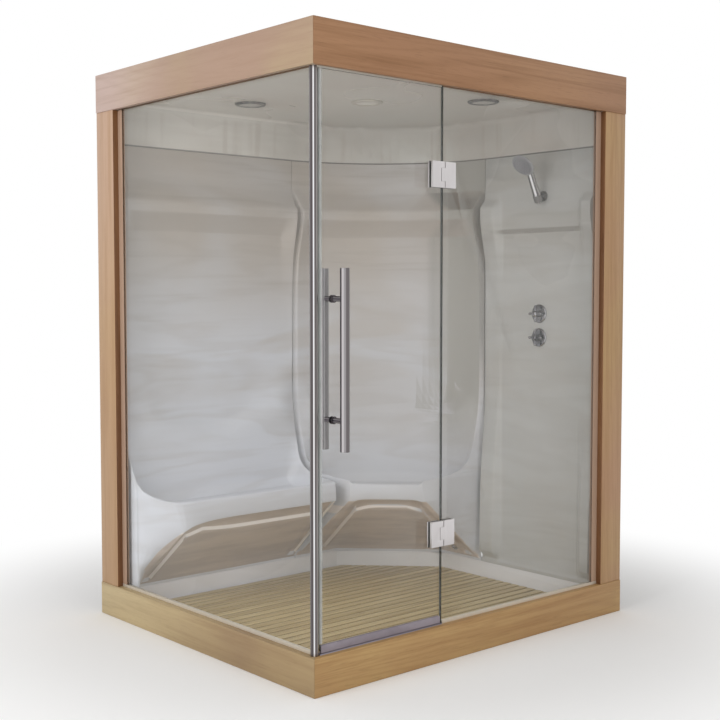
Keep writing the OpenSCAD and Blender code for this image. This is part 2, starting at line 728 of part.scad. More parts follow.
module front_glass() {
    z0 = sill_h + channel_wall;
    x0 = hinge_x + pane_gap;
    color("lightcyan", 0.35) difference() {
        translate([x0, glass_y, z0])
            cube([jamb_x - channel_wall - glass_play - x0, glass_t, head_z - channel_wall - glass_play - z0]);
        for (z = [hinge_low_z, hinge_top_z]) for (s = [-1, 1])
            translate([screw_x(1), glass_y - 1, z + s * screw_z]) rotate([-90, 0, 0])
                cylinder(h = glass_t + 2, r = screw_r + 1);
    }
}

module corner_post() {
    color("silver") translate([post_cx, post_cy, sill_h]) difference() {
        cylinder(h = opening_top - sill_h, r = corner_post_r);
        translate([-glass_play, 5.7, -1]) cube([glass_t + 2 * glass_play, 20, cabin_h]);
    }
}

// U channel along +X with its mouth towards +Z, centred on the pane
module channel(length, tall) {
    wide = glass_t + 2 * (glass_play + channel_wall);
    difference() {
        translate([0, -wide / 2, 0]) cube([length, wide, tall]);
        translate([-1, -glass_t / 2 - glass_play, channel_wall])
            cube([length + 2, glass_t + 2 * glass_play, tall]);
    }
}

module glazing_channels() {
    gx = glass_x + glass_t / 2;
    gy = glass_y + glass_t / 2;
    side_y0 = post_cy + corner_post_r + 1;
    fixed_x0 = hinge_x + pane_gap + 2;
    low = sill_h;
    color("gainsboro") {
        translate([fixed_x0, gy, low]) channel(jamb_x - fixed_x0, channel_h);
        translate([gx, side_y0, low]) rotate(90) channel(jamb_y - side_y0, channel_h);
        translate([fixed_x0, gy, head_z]) mirror([0, 0, 1]) channel(jamb_x - fixed_x0, head_z - opening_top);
        translate([gx, side_y0, head_z]) rotate(90) mirror([0, 0, 1])
            channel(jamb_y - side_y0, head_z - opening_top);
    }
}

module jamb_channels() {
    z0 = sill_h + channel_h;
    color("saddlebrown") {
        translate([jamb_x, glass_y + glass_t / 2, z0]) rotate([0, -90, 0])
            channel(opening_top - z0, jamb_channel);
        translate([glass_x + glass_t / 2, jamb_y, z0]) rotate([0, 0, 90]) rotate([0, -90, 0])
            channel(opening_top - z0, jamb_channel);
    }
}

module threshold_strip() {
    x0 = post_cx + corner_post_r + 0.5;
    color("gainsboro") translate([x0, glass_y + glass_t / 2, sill_h]) rotate([90, 0, 90])
        linear_extrude(hinge_x - x0) polygon([[-11, 0], [11, 0], [9, 3], [4, 4], [-4, 4], [-9, 3]]);
}

// Hinge parts are drawn round the pin's axis, the door on the -X side and the panes on the +Y side
module at_hinges() {
    for (z = [hinge_low_z, hinge_top_z]) translate([hinge_x, hinge_y, z]) children();
}

function screw_x(side) = hinge_x + side * (leaf_gap + leaf_w * 0.55);

module screw_holes(side, y0, y1, r) {
    for (s = [-1, 1]) translate([side * (leaf_gap + leaf_w * 0.55), y0, s * screw_z])
        rotate([-90, 0, 0]) cylinder(h = y1 - y0, r = r);
}

screw_end = leaf_t / 2 - 6;
pane_out = leaf_t / 2 + gasket_t;
pane_in = pane_out + glass_t;
clamp_in = pane_in + gasket_t;

module hinge_fixed_leaves() {
    color("whitesmoke") at_hinges() difference() {
        union() {
            translate([leaf_gap, -leaf_t / 2, -leaf_h / 2]) cube([leaf_w, leaf_t, leaf_h]);
            translate([-knuckle_reach, -leaf_t / 2, -knuckle_h / 2])
                cube([knuckle_reach + leaf_gap + 1, leaf_t, knuckle_h]);
        }
        translate([0, 0, -leaf_h]) cylinder(h = 2 * leaf_h, r = pin_r);
        screw_holes(1, screw_end, leaf_t, screw_r + 0.05);
    }
}

module hinge_door_leaves() {
    color("whitesmoke") at_hinges() difference() {
        union() {
            translate([-leaf_gap - leaf_w, -leaf_t / 2, -leaf_h / 2])
                cube([leaf_w + leaf_gap, leaf_t, leaf_h]);
            translate([0, 0, -leaf_h / 2]) cylinder(h = leaf_h, r = leaf_t / 2);
        }
        translate([-knuckle_reach - 2, -leaf_t, -knuckle_h / 2 - 0.4])
            cube([knuckle_reach + leaf_gap + 10, 2 * leaf_t, knuckle_h + 0.8]);
        translate([0, 0, -leaf_h]) cylinder(h = 2 * leaf_h, r = pin_r + pin_play);
        screw_holes(-1, screw_end, leaf_t, screw_r + 0.05);
    }
}

module hinge_pins() {
    color("silver") at_hinges() translate([0, 0, -leaf_h / 2]) cylinder(h = leaf_h, r = pin_r);
}

module plate(side, y0, thick) {
    x0 = side > 0 ? leaf_gap : -leaf_gap - leaf_w;
    difference() {
        translate([x0, y0, -leaf_h / 2]) cube([leaf_w, thick, leaf_h]);
        screw_holes(side, y0 - 1, y0 + thick + 1, screw_r + 0.2);
    }
}

module hinge_fixed_clamps() {
    color("whitesmoke") at_hinges() plate(1, clamp_in, clamp_t);
}

module hinge_door_clamps() {
    color("whitesmoke") at_hinges() plate(-1, clamp_in, clamp_t);
}

module hinge_fixed_gaskets() {
    color("darkgray") at_hinges() {
        plate(1, leaf_t / 2, gasket_t);
        plate(1, pane_in, gasket_t);
    }
}

module hinge_door_gaskets() {
    color("darkgray") at_hinges() {
        difference() {
            plate(-1, leaf_t / 2, gasket_t);
            translate([-notch, 0, -notch_h / 2]) cube([notch, leaf_t * 2, notch_h]);
        }
        plate(-1, pane_in, gasket_t);
    }
}

module hinge_screws(side) {
    color("silver") at_hinges() for (s = [-1, 1])
        translate([side * (leaf_gap + leaf_w * 0.55), 0, s * screw_z]) rotate([-90, 0, 0]) {
            translate([0, 0, screw_end]) cylinder(h = clamp_in + clamp_t - screw_end, r = screw_r);
            translate([0, 0, clamp_in + clamp_t]) cylinder(h = 3, r1 = 6, r2 = 5);
        }
}

module hinge_fixed_screws() {
    hinge_screws(1);
}

module hinge_door_screws() {
    hinge_screws(-1);
}

bar_x = door_x0 + bar_edge;
bar_out_y = glass_y - bar_out;
bar_in_y = glass_y + glass_t + bar_in;
collar_t = 3;
stud_r = 4;
bar_posts = [bar_mid_z - bar_post_gap / 2, bar_mid_z + bar_post_gap / 2];

module door_glass() {
    color("lightcyan", 0.35) difference() {
        translate([door_x0, glass_y, door_z0])
            cube([hinge_x - pane_gap - door_x0, glass_t, door_z1 - door_z0]);
        for (z = [hinge_low_z, hinge_top_z]) {
            translate([hinge_x - notch, glass_y - 1, z - notch_h / 2]) cube([notch, glass_t + 2, notch_h]);
            for (s = [-1, 1]) translate([screw_x(-1), glass_y - 1, z + s * screw_z])
                rotate([-90, 0, 0]) cylinder(h = glass_t + 2, r = screw_r + 1);
        }
        for (z = bar_posts) translate([bar_x, glass_y - 1, z]) rotate([-90, 0, 0])
            cylinder(h = glass_t + 2, r = stud_r + 4);
    }
}

// A bar with its two posts; side -1 stands outside the door and 1 inside
module pull_bar(side, bar_y, face_y) {
    reach = abs(face_y - bar_y);
    difference() {
        union() {
            translate([bar_x, bar_y, bar_mid_z - bar_len / 2]) cylinder(h = bar_len, r = bar_r);
            for (z = bar_posts) translate([bar_x, bar_y, z]) rotate([90 * side, 0, 0])
                cylinder(h = reach, r = 9);
        }
        for (z = bar_posts) translate([bar_x, face_y, z]) rotate([-90 * side, 0, 0])
            translate([0, 0, -1]) cylinder(h = 16, r = stud_r + 0.05);
    }
}

module handle_outer_bar() {
    color("silver") pull_bar(-1, bar_out_y, glass_y - collar_t);
}

module handle_inner_bar() {
    color("silver") pull_bar(1, bar_in_y, glass_y + glass_t + collar_t);
}

module handle_studs() {
    y0 = glass_y - collar_t - 14;
    y1 = glass_y + glass_t + collar_t + 14;
    color("gray") for (z = bar_posts) translate([bar_x, y0, z]) rotate([-90, 0, 0])
        cylinder(h = y1 - y0, r = stud_r);
}

module handle_collars() {
    color("dimgray") for (z = bar_posts) for (side = [-1, 1])
        translate([bar_x, glass_y + glass_t / 2 + side * (glass_t / 2 + collar_t), z])
            rotate([90 * side, 0, 0]) difference() {
                union() {
                    cylinder(h = collar_t, r = 13);
                    cylinder(h = collar_t + glass_t / 2 - 0.2, r = stud_r + 3.7);
                }
                translate([0, 0, -1]) cylinder(h = 20, r = stud_r + 0.1);
            }
}

module door_sweep() {
    x0 = door_x0 + 2;
    color("lightgray", 0.6) difference() {
        translate([x0, glass_y - 1.5, sill_h + 4.6])
            cube([hinge_x - pane_gap - 4 - x0, glass_t + 3, 26]);
        translate([x0 - 1, glass_y - 0.05, door_z0]) cube([cabin_w, glass_t + 0.1, 60]);
    }
}

module door_edge_seal() {
    tip = post_cx + corner_post_r + 0.7;
    z0 = sill_h + 36;
    color("dimgray") difference() {
        translate([tip, glass_y - 1.2, z0]) cube([door_x0 + 8 - tip, glass_t + 2.4, door_z1 - z0]);
        translate([door_x0, glass_y - 0.05, z0 - 1]) cube([20, glass_t + 0.1, cabin_h]);
    }
}

valve_front = right_wall + 4;
valve_back = hw - 25;

module along_x(x, y, z) {
    translate([x, y, z]) rotate([0, 90, 0]) children();
}

module valve_roses() {
    color("silver") for (z = [flow_z, temp_z]) along_x(panel_face - 6, control_y, z) difference() {
        union() {
            translate([0, 0, 3]) cylinder(h = 3, r = rose_r);
            cylinder(h = 3, r1 = rose_r - 4, r2 = rose_r);
        }
        translate([0, 0, -1]) cylinder(h = 10, r = sleeve_r + 0.3);
    }
}

module valve_body() {
    inlet_x = (valve_front + valve_back) / 2;
    color("goldenrod") {
        union() {
            for (z = [flow_z, temp_z]) {
                along_x(valve_front, control_y, z) cylinder(h = valve_back - valve_front, r = 24);
                along_x(panel_face - 4, control_y, z) cylinder(h = valve_front - panel_face + 5, r = sleeve_r);
                along_x(panel_face - 26, control_y, z) cylinder(h = 40, r = spindle_r);
            }
            translate([inlet_x, control_y, temp_z]) cylinder(h = flow_z - temp_z + 34, r = 11);
            for (s = [-1, 1]) {
                translate([inlet_x, control_y, temp_z]) rotate([-90 * s, 0, 0]) cylinder(h = 50, r = 11);
                along_x(inlet_x, control_y + s * 50, temp_z) cylinder(h = hw - inlet_x, r = inlet_r);
                along_x(inlet_x - 13, control_y + s * 50, temp_z) cylinder(h = 26, r = inlet_r + 3);
            }
        }
    }
}

inlet_r = 10.5;

// Cross handle on its spindle, drawn along +Z away from the wall
module cross_handle() {
    difference() {
        union() {
            cylinder(h = 30, r = 13);
            translate([0, 0, 30]) cylinder(h = 6, r1 = 13, r2 = 8);
            for (a = [0:90:270]) rotate([0, 0, a]) {
                translate([0, 0, 20]) rotate([0, 90, 0]) cylinder(h = 30, r = 4.5);
                translate([30, 0, 20]) sphere(r = 6.5);
            }
        }
        translate([0, 0, -1]) cylinder(h = 21, r = spindle_r + 0.05);
    }
}

module flow_handle() {
    color("silver") translate([panel_face - 7, control_y, flow_z]) rotate([0, -90, 0]) cross_handle();
}

module temperature_handle() {
    color("silver") translate([panel_face - 7, control_y, temp_z]) rotate([0, -90, 0]) cross_handle();
}

module riser_pipe() {
    x = (valve_front + valve_back) / 2;
    low = flow_z + 34;
    bend_z = bracket_z - 90;
    side = shower_y - control_y;
    color("peru") difference() {
        union() {
            translate([x, control_y, low]) cylinder(h = bend_z - low, r = 8);
            translate([x, control_y, bend_z]) sphere(r = 11);
            translate([x, control_y, bend_z]) rotate([atan2(-side, bracket_z - bend_z), 0, 0])
                cylinder(h = norm([side, bracket_z - bend_z]), r = 8);
        }
        along_x(boss_face, shower_y, bracket_z) cylinder(h = 80, r = sleeve_r + 0.05);
    }
}

module bracket_base() {
    x_end = (valve_front + valve_back) / 2 + 12;
    color("dimgray") difference() {
        union() {
            along_x(boss_face - 2, shower_y, bracket_z) cylinder(h = x_end + 2 - boss_face, r = sleeve_r);
            along_x(boss_face - 5, shower_y, bracket_z) cylinder(h = 5, r = 22);
            for (s = [-1, 1]) translate([pivot_x, shower_y + s * 14 - 3, pivot_z]) {
                rotate([-90, 0, 0]) cylinder(h = 6, r = pivot_r);
                translate([0, 0, -pivot_r]) cube([boss_face - 5 - pivot_x, 6, 2 * pivot_r]);
            }
        }
        translate([pivot_x, shower_y - 30, pivot_z]) rotate([-90, 0, 0]) cylinder(h = 60, r = 3.05);
    }
}

module handset_axis() {
    translate([pivot_x, shower_y, pivot_z]) rotate([0, -lean, 0]) translate([-stick_off, 0, 0]) children();
}

module bracket_cradle() {
    color("dimgray") {
        difference() {
            union() {
                handset_axis() translate([0, 0, -cone_h / 2]) cylinder(h = cone_h, r = stick_r + 5);
                handset_axis() translate([stick_r, -8, -7]) cube([stick_off - stick_r, 16, 14]);
                translate([pivot_x, shower_y - 10.7, pivot_z]) rotate([-90, 0, 0])
                    cylinder(h = 21.4, r = pivot_r - 0.5);
            }
            handset_axis() translate([0, 0, -cone_h / 2 - 1])
                cylinder(h = cone_h + 2, r1 = cone_low + 0.2, r2 = stick_r + 0.35);
        }
        translate([pivot_x, shower_y - 17, pivot_z]) rotate([-90, 0, 0]) cylinder(h = 34, r = 3);
    }
}

module handset_handle() {
    color("silver") handset_axis() difference() {
        union() {
            translate([0, 0, -cone_h / 2]) cylinder(h = cone_h, r1 = cone_low, r2 = stick_r);
            translate([0, 0, cone_h / 2]) cylinder(h = 8, r = stick_r + 2.5);
            translate([0, 0, cone_h / 2 + 8]) cylinder(h = stick_len - cone_h / 2 - 8, r1 = stick_r + 2, r2 = stick_r);
            translate([0, 0, -cone_h / 2 - 8]) cylinder(h = 8, r = stick_r - 4);
        }
        translate([0, 0, -cone_h / 2 - 9]) cylinder(h = 24, r = 5);
    }
}

head_tilt = 48;

// Frame of the shower head: its face is the plane z = 0 and looks along -Z
module head_axis() {
    handset_axis() translate([0, 0, stick_len]) rotate([0, head_tilt + lean, 0])
        translate([-head_r - 6, 0, -stick_r - 3]) children();
}

module shower_head() {
    color("silver") hull() {
        head_axis() cylinder(h = 6, r = head_r);
        head_axis() cylinder(h = 15, r = head_r - 14);
        handset_axis() translate([0, 0, stick_len]) cylinder(h = 2, r = stick_r);
    }
}

module spray_face() {
    color("dimgray") head_axis() translate([0, 0, -3]) difference() {
        cylinder(h = 3, r = head_r - 6);
        for (ring = [1:3]) for (i = [0:ring * 6 - 1])
            rotate(i * 60 / ring) translate([ring * 12, 0, -1]) cylinder(h = 2, r = 1.4, $fn = 16);
    }
}

steam_r = 11;
// Place of the outlet on the panel's right facet: share across it and share of the way up
steam_across = 0.22;
steam_up = 0.13;
function facet_base(i) = at(base_point(mix(88.4, 1.6, base_shares[i])), apron_z);
function facet_low(i) = at(mix(corner_low, swap(corner_low), low_shares[i]), lip_low_z);
function facet_point(t, up) = mix(mix(facet_base(9), facet_base(8), t), mix(facet_low(9), facet_low(8), t), up);
steam_dir = unit(cross(facet_point(1, steam_up) - facet_point(0, steam_up),
    facet_point(steam_across, 1) - facet_point(steam_across, 0)));
steam_pos = facet_point(steam_across, steam_up) - 0.5 * steam_dir;

// Frame on the corner unit's right facet, +Z into the space behind it
module steam_axis(back) {
    translate(steam_pos) rotate([0, acos(steam_dir[2]), atan2(steam_dir[1], steam_dir[0])])
        translate([0, 0, back]) children();
}

module steam_outlet() {
    color("dimgray") difference() {
        union() {
            steam_axis(-5) cylinder(h = 95, r = steam_r);
            steam_axis(-5) cylinder(h = 5, r1 = steam_r + 1, r2 = steam_r + 4);
            steam_axis(shell_t + 2) cylinder(h = 12, r = steam_r + 7);
        }
        steam_axis(-6) cylinder(h = 40, r = steam_r - 3);
    }
}

frame_rails();
levelling_feet();
shower_tray();
drain_flange();
drain_grate();
duckboard_bearers();
duckboard_slats();
sill_front();
sill_left();
post_left();
post_right();
rear_corner_post();
wall_studs();
wall_battens();
top_rails();
head_rails();
roof_bearers();
fascia_front();
fascia_left();
dome_ceiling();
downlight_rings();
downlight_lenses();
downlight_cans();
left_bench_unit();
corner_bench_unit();
shower_wall_panel();
joint_strips();
side_glass();
front_glass();
corner_post();
glazing_channels();
jamb_channels();
threshold_strip();
hinge_fixed_leaves();
hinge_fixed_clamps();
hinge_fixed_gaskets();
hinge_fixed_screws();
hinge_pins();
door_glass();
hinge_door_leaves();
hinge_door_clamps();
hinge_door_gaskets();
hinge_door_screws();
handle_outer_bar();
handle_inner_bar();
handle_studs();
handle_collars();
door_sweep();
door_edge_seal();
valve_roses();
valve_body();
flow_handle();
temperature_handle();
riser_pipe();
bracket_base();
bracket_cradle();
handset_handle();
shower_head();
spray_face();
steam_outlet();
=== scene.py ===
# %% [markdown]
# # A corner steam cabin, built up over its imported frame
# The cabin is a timber casing with two glass sides. Inside stand moulded acrylic benches, a shower
# and a slatted floor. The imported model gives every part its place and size. This lesson dresses it:
# each part gets the soft edges, the curves and the finish that the real one has.
# Everything is in metres, with the door towards -Y and the other glass side towards -X.

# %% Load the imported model
import json
import math
import bpy
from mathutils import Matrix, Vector

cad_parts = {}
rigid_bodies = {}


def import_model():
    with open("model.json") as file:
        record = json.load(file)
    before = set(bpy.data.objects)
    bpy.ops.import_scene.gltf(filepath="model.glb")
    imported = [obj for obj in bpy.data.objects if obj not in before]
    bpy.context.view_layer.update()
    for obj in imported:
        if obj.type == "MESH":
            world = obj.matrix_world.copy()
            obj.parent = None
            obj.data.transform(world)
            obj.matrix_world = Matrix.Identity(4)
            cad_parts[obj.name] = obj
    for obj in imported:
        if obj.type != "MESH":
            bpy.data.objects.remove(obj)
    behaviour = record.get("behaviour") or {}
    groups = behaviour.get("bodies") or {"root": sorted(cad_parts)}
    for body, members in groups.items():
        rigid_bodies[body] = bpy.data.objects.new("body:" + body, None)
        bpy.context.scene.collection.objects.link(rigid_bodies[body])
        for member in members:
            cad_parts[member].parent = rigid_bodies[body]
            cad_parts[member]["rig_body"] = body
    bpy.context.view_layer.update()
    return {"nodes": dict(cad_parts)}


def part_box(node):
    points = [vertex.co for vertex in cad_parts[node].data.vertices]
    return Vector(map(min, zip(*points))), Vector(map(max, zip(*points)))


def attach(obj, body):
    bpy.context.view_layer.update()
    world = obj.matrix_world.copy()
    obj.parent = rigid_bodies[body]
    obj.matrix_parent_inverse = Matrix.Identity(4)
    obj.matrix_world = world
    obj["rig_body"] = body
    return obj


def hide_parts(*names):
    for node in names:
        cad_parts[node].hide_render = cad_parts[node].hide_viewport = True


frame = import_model()
nodes = frame["nodes"]
bpy.ops.object.select_all(action="DESELECT")

# %% [markdown]
# ## Camera
# The photograph looks at the left front corner from a little over a person's chest, 4.9 m away.
# A camera added with an operator takes its place and turn straight away, and a lens of 59 mm on the
# usual 36 mm sensor gives the same narrow view, so near and far edges shrink as they do there.

# %% Camera
bpy.ops.object.camera_add(location=(-3.208, -3.650, 1.323),
                          rotation=(math.radians(86.76), 0, math.radians(-41.23)))
camera = bpy.context.object
camera.name = "camera"
camera.data.sensor_width = 36
camera.data.lens = 59.175
camera.data.clip_end = 60
bpy.context.scene.camera = camera
bpy.context.scene.view_settings.view_transform = "Standard"
print("camera", [round(v, 2) for v in camera.location])

# %% [markdown]
# ## Shader maths in Python
# A finish is a chain of nodes. Placing them by hand in the node editor works, but sums are easier
# to read as sums. So one class holds an output socket and turns +, -, * and / into Math nodes, and
# a second class holds a tree of nodes and adds any other node. Colours never go through Math nodes,
# because those make them grey: they go through Mix.

# %% A socket that can be added and multiplied
class Flow:
    """An output socket of one tree of nodes."""

    def __init__(self, finish, socket):
        self.finish = finish
        self.socket = socket

    def maths(self, operation, *values):
        return self.finish.node("Math", {"operation": operation}, dict(enumerate(values)))

    def __add__(self, other):
        return self.maths("ADD", self, other)

    def __radd__(self, other):
        return self.maths("ADD", other, self)

    def __sub__(self, other):
        return self.maths("SUBTRACT", self, other)

    def __rsub__(self, other):
        return self.maths("SUBTRACT", other, self)

    def __mul__(self, other):
        return self.maths("MULTIPLY", self, other)

    def __rmul__(self, other):
        return self.maths("MULTIPLY", other, self)

    def __truediv__(self, other):
        return self.maths("DIVIDE", self, other)

    def __rtruediv__(self, other):
        return self.maths("DIVIDE", other, self)

    def __pow__(self, other):
        return self.maths("POWER", self, other)

    def sine(self):
        return self.maths("SINE", self)

    def size(self):
        """The value without its sign."""
        return self.maths("ABSOLUTE", self)

    def whole(self):
        """The value with its fraction cut off."""
        return self.maths("FLOOR", self)

    def most(self, other):
        """The larger of two values."""
        return self.maths("MAXIMUM", self, other)

    def rising(self, low, high):
        """0 below low, 1 above high, and a smooth step between them."""
        return self.finish.node("MapRange", {"interpolation_type": "SMOOTHSTEP"},
                                {"Value": self, "From Min": low, "From Max": high})


# %% A tree that is built node by node
class Shader:
    """The nodes of one material, or of the world."""

    def __init__(self, owner):
        owner.use_nodes = True
        self.tree = owner.node_tree
        self.tree.nodes.clear()

    def node(self, kind, settings, sockets, output=0):
        """Adds a node by its type, its settings, and the values or links of its sockets."""
        made = self.tree.nodes.new("ShaderNode" + kind)
        for name, value in settings.items():
            setattr(made, name, value)
        for name, value in sockets.items():
            if isinstance(value, Flow):
                self.tree.links.new(value.socket, made.inputs[name])
            else:
                made.inputs[name].default_value = value
        return Flow(self, made.outputs[output]) if len(made.outputs) else None

    def seen(self):
        """1 for what shows in the picture itself, in a reflection or through glass, and else 0."""
        camera, glossy, through = [self.node("LightPath", {}, {}, "Is " + kind + " Ray")
                                   for kind in ("Camera", "Glossy", "Transmission")]
        return camera.most(glossy.most(through))


# %% A finish
class Finish(Shader):
    """One procedural material. place is a point of the piece, in the piece's own axes."""

    count = 0

    def __init__(self, name):
        self.material = bpy.data.materials.new(name)
        super().__init__(self.material)
        self.place = self.node("TexCoord", {}, {}, "Object")
        Finish.count += 1

    def axis(self, letter):
        """The place along X, Y or Z, in metres."""
        return self.node("SeparateXYZ", {}, {0: self.place}, letter)

    def moved(self, scale=(1, 1, 1), turn=(0, 0, 0), shift=(0, 0, 0)):
        """The place after a Mapping node, which takes its turn here in degrees."""
        angles = tuple(math.radians(a) for a in turn)
        return self.node("Mapping", {}, {"Vector": self.place, "Scale": scale,
                                         "Rotation": angles, "Location": shift})

    def noise(self, place, scale=1.0, detail=3.0, rough=0.5, warp=0.0):
        return self.node("TexNoise", {}, {"Vector": place, "Scale": scale, "Detail": detail,
                                          "Roughness": rough, "Distortion": warp})

    def mix(self, share, first, second):
        """The first colour, with a share of it replaced by the second."""
        return self.node("Mix", {"data_type": "RGBA"}, {0: share, 6: first, 7: second}, 2)

    def looks(self, kind):
        """The surface's direction in the piece's own axes, which stay with a door that swings."""
        normal = self.node("NewGeometry", {}, {}, kind)
        return self.node("VectorTransform", {"vector_type": "NORMAL", "convert_from": "WORLD",
                                             "convert_to": "OBJECT"}, {0: normal})

    def facing(self, letter):
        """How far the flat face looks along one axis, from -1 to 1."""
        return self.node("SeparateXYZ", {}, {0: self.looks("True Normal")}, letter)

    def across(self, direction):
        """How far the surface looks along any direction, from -1 to 1."""
        return self.node("VectorMath", {"operation": "DOT_PRODUCT"},
                         {0: self.looks("Normal"), 1: direction}, "Value")

    def bump(self, height, strength, depth):
        return self.node("Bump", {}, {"Height": height, "Strength": strength, "Distance": depth})

    def skin(self, **values):
        """Ends the finish: its shader, with a number, a tone or a link for each value."""
        names = {"colour": "Base Color", "rough": "Roughness", "metal": "Metallic",
                 "normal": "Normal", "alpha": "Alpha", "ior": "IOR"}
        shader = self.node("BsdfPrincipled", {}, {names[k]: v for k, v in values.items()})
        self.node("OutputMaterial", {}, {"Surface": shader})
        return self.material


# %% Tones
def tint(red, green, blue):
    """A colour as a screen shows it, 0 to 255, turned into the light values that shaders use."""
    def light(v):
        v /= 255
        return v / 12.92 if v <= 0.04045 else ((v + 0.055) / 1.055) ** 2.4
    return (light(red), light(green), light(blue), 1)


def darker(tone, share):
    """The same tone with only a share of its light."""
    return tuple(light * share for light in tone[:3]) + (1,)


print("shader maths ready, mid grey is", round(tint(128, 128, 128)[0], 3))

# %% [markdown]
# ## Timber
# The casing is oiled cedar and the sills are a yellower board. Wood shows three things at once:
# broad drifts of tone along the board, long streaks of grain, and fine dark pores. Each is a noise
# that is squeezed across the board and stretched along it. Contour lines of a broad noise give the
# nested arches of a flat-sawn board, and the same grain feeds a shallow bump.

# %% Timber
STRETCH = {"x": (1, 30, 30), "y": (30, 1, 30), "z": (30, 30, 1)}
ARCH_DENSITY = 95


def timber(name, along, pale, mid, dark, seed, figure=0.35, streaks=0.7, drift=0.6, pores=0.35,
           far=None):
    """Planed board with its grain along x, y or z. far is a tone to which the board drifts along
    its length, and the two places between which it does."""
    f = Finish(name)
    shift = (seed * 3.1, seed * 1.7, seed * 2.3)

    def grain(share, least=0.0):
        return f.moved(scale=tuple(v * share + least for v in STRETCH[along]), shift=shift)

    broad = f.noise(f.moved(shift=shift), 1.9, 3, 0.5, 0.3)
    arches = f.noise(grain(0.16, 0.22), 1, 1.5, 0.45, 0.6)
    rings = ((arches * ARCH_DENSITY).sine() * 0.5 + 0.5) ** 2.5
    streak = f.noise(grain(1.15), 1, 5, 0.62, 0.25)
    fine = f.noise(grain(11, 5), 1, 2, 0.5)
    colour = f.mix(broad.rising(0.34, 0.66) * drift, mid, pale)
    if far:
        tone, start, end = far
        colour = f.mix(f.axis(along.upper()).rising(start, end) * 0.85, colour, tone)
    colour = f.mix(streak.rising(0.42, 0.72) * streaks, colour, dark)
    colour = f.mix(rings * figure, colour, dark)
    colour = f.mix((1 - fine.rising(0.30, 0.44)) * pores, colour, darker(dark, 0.6))
    height = streak * 0.5 + rings * 0.25 + fine * 0.6
    return f.skin(colour=colour, rough=streak * 0.14 + 0.43, normal=f.bump(height, 0.2, 0.0005))


# %% [markdown]
# Each board has its own three tones and its own seed, which shifts the noises so that no two boards
# share a pattern. Boards at the left are paler and plainer than those at the right.

# %% The boards' timbers
cedar_light_y = timber(
    "cedar_light_along_y", "y", tint(174, 152, 122), tint(168, 140, 121), tint(152, 122, 102),
    seed=4, figure=0.10, streaks=0.35, drift=0.9, pores=0.10, far=(tint(198, 174, 166), 0.05, 0.7))
cedar_light_z = timber(
    "cedar_light_along_z", "z", tint(184, 152, 112), tint(180, 146, 112), tint(160, 122, 86),
    seed=9, figure=0.12, streaks=0.5, drift=0.9, pores=0.15, far=(tint(190, 158, 136), 0.9, 1.9))
cedar_warm_x = timber(
    "cedar_warm_along_x", "x", tint(168, 127, 90), tint(159, 117, 84), tint(134, 94, 60),
    seed=2, figure=0.25, streaks=0.8, pores=0.25)
cedar_warm_z = timber(
    "cedar_warm_along_z", "z", tint(178, 148, 100), tint(172, 134, 102), tint(152, 114, 74),
    seed=6, figure=0.25, streaks=0.7, pores=0.2)
sill_board_y = timber(
    "sill_board_along_y", "y", tint(166, 142, 104), tint(150, 125, 94), tint(134, 106, 74),
    seed=11, figure=0.12, streaks=0.45, drift=0.9, pores=0.15,
    far=(tint(196, 176, 134), -0.35, 0.5))
sill_board_x = timber(
    "sill_board_along_x", "x", tint(186, 156, 102), tint(174, 138, 90), tint(150, 110, 66),
    seed=13, figure=0.3, streaks=0.75, pores=0.25)
jamb_wood = timber(
    "jamb_strip_wood", "z", tint(178, 150, 128), tint(170, 142, 122), tint(146, 114, 92),
    seed=21, figure=0.1, streaks=0.5, pores=0.15)
# A darker brown for the faces of the posts that look at the glass.
rebate_wood = timber(
    "rebate_stain", "z", tint(134, 94, 58), tint(122, 82, 50), tint(92, 58, 34),
    seed=23, figure=0.2, streaks=0.7, pores=0.2)
spruce = timber(
    "frame_spruce_along_x", "x", tint(218, 194, 152), tint(204, 176, 132), tint(180, 144, 98),
    seed=17)
print("finishes so far", Finish.count)

# %% [markdown]
# ## Duckboard wood
# The slats are separate pieces of one oiled hardwood, so each has its own tone. Dividing Y by the
# slat pitch and cutting off the fraction numbers the slats, and white noise of that number picks
# the tone.

# %% Duckboard wood
# The rough pitch is fitted to a whole number of slats.
SLAT_GAP = 0.008
ROUGH_PITCH = 0.046
slats_low, slats_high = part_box("duckboard_slats")
slat_count = round((slats_high.y - slats_low.y + SLAT_GAP) / ROUGH_PITCH)
slat_pitch = (slats_high.y - slats_low.y + SLAT_GAP) / slat_count


def slat_wood(name, along):
    """Oiled hardwood with its grain along x or y. The slats' sides, in the gaps, are darkened with
    painted shade.
    """
    f = Finish(name)
    number = ((f.axis("Y") - slats_low.y + SLAT_GAP / 2) / slat_pitch).whole()
    own = f.node("TexWhiteNoise", {"noise_dimensions": "1D"}, {"W": number})
    long = (2, 46, 46) if along == "x" else (46, 2, 46)
    jump = f.node("CombineXYZ", {}, {"X": number * 3.7, "Z": number * 1.3})
    place = f.node("VectorMath", {"operation": "ADD"}, {0: f.moved(scale=long), 1: jump})
    streak = f.noise(place, 1, 5, 0.6, 0.5)
    broad = f.noise(f.moved(shift=(3, 1, 0)), 2.2, 2)
    colour = f.mix(own, tint(196, 175, 128), tint(216, 197, 150))
    colour = f.mix(streak.rising(0.42, 0.70) * 0.75, colour, tint(158, 132, 86))
    colour = f.mix(broad.rising(0.4, 0.7) * 0.4, colour, tint(190, 164, 112))
    # Painted shade: the slats' sides, in the gaps between them, are darker.
    if along == "x":
        colour = f.mix(f.facing("Y").size().rising(0.4, 0.8) * 0.8, colour, tint(150, 127, 84))
    return f.skin(colour=colour, rough=streak * 0.2 + 0.38, normal=f.bump(streak, 0.35, 0.0005))


duckboard_wood = slat_wood("duckboard_hardwood", "x")
bearer_wood = slat_wood("bearer_hardwood", "y")
print("slats", slat_count, "pitch", round(slat_pitch, 4))

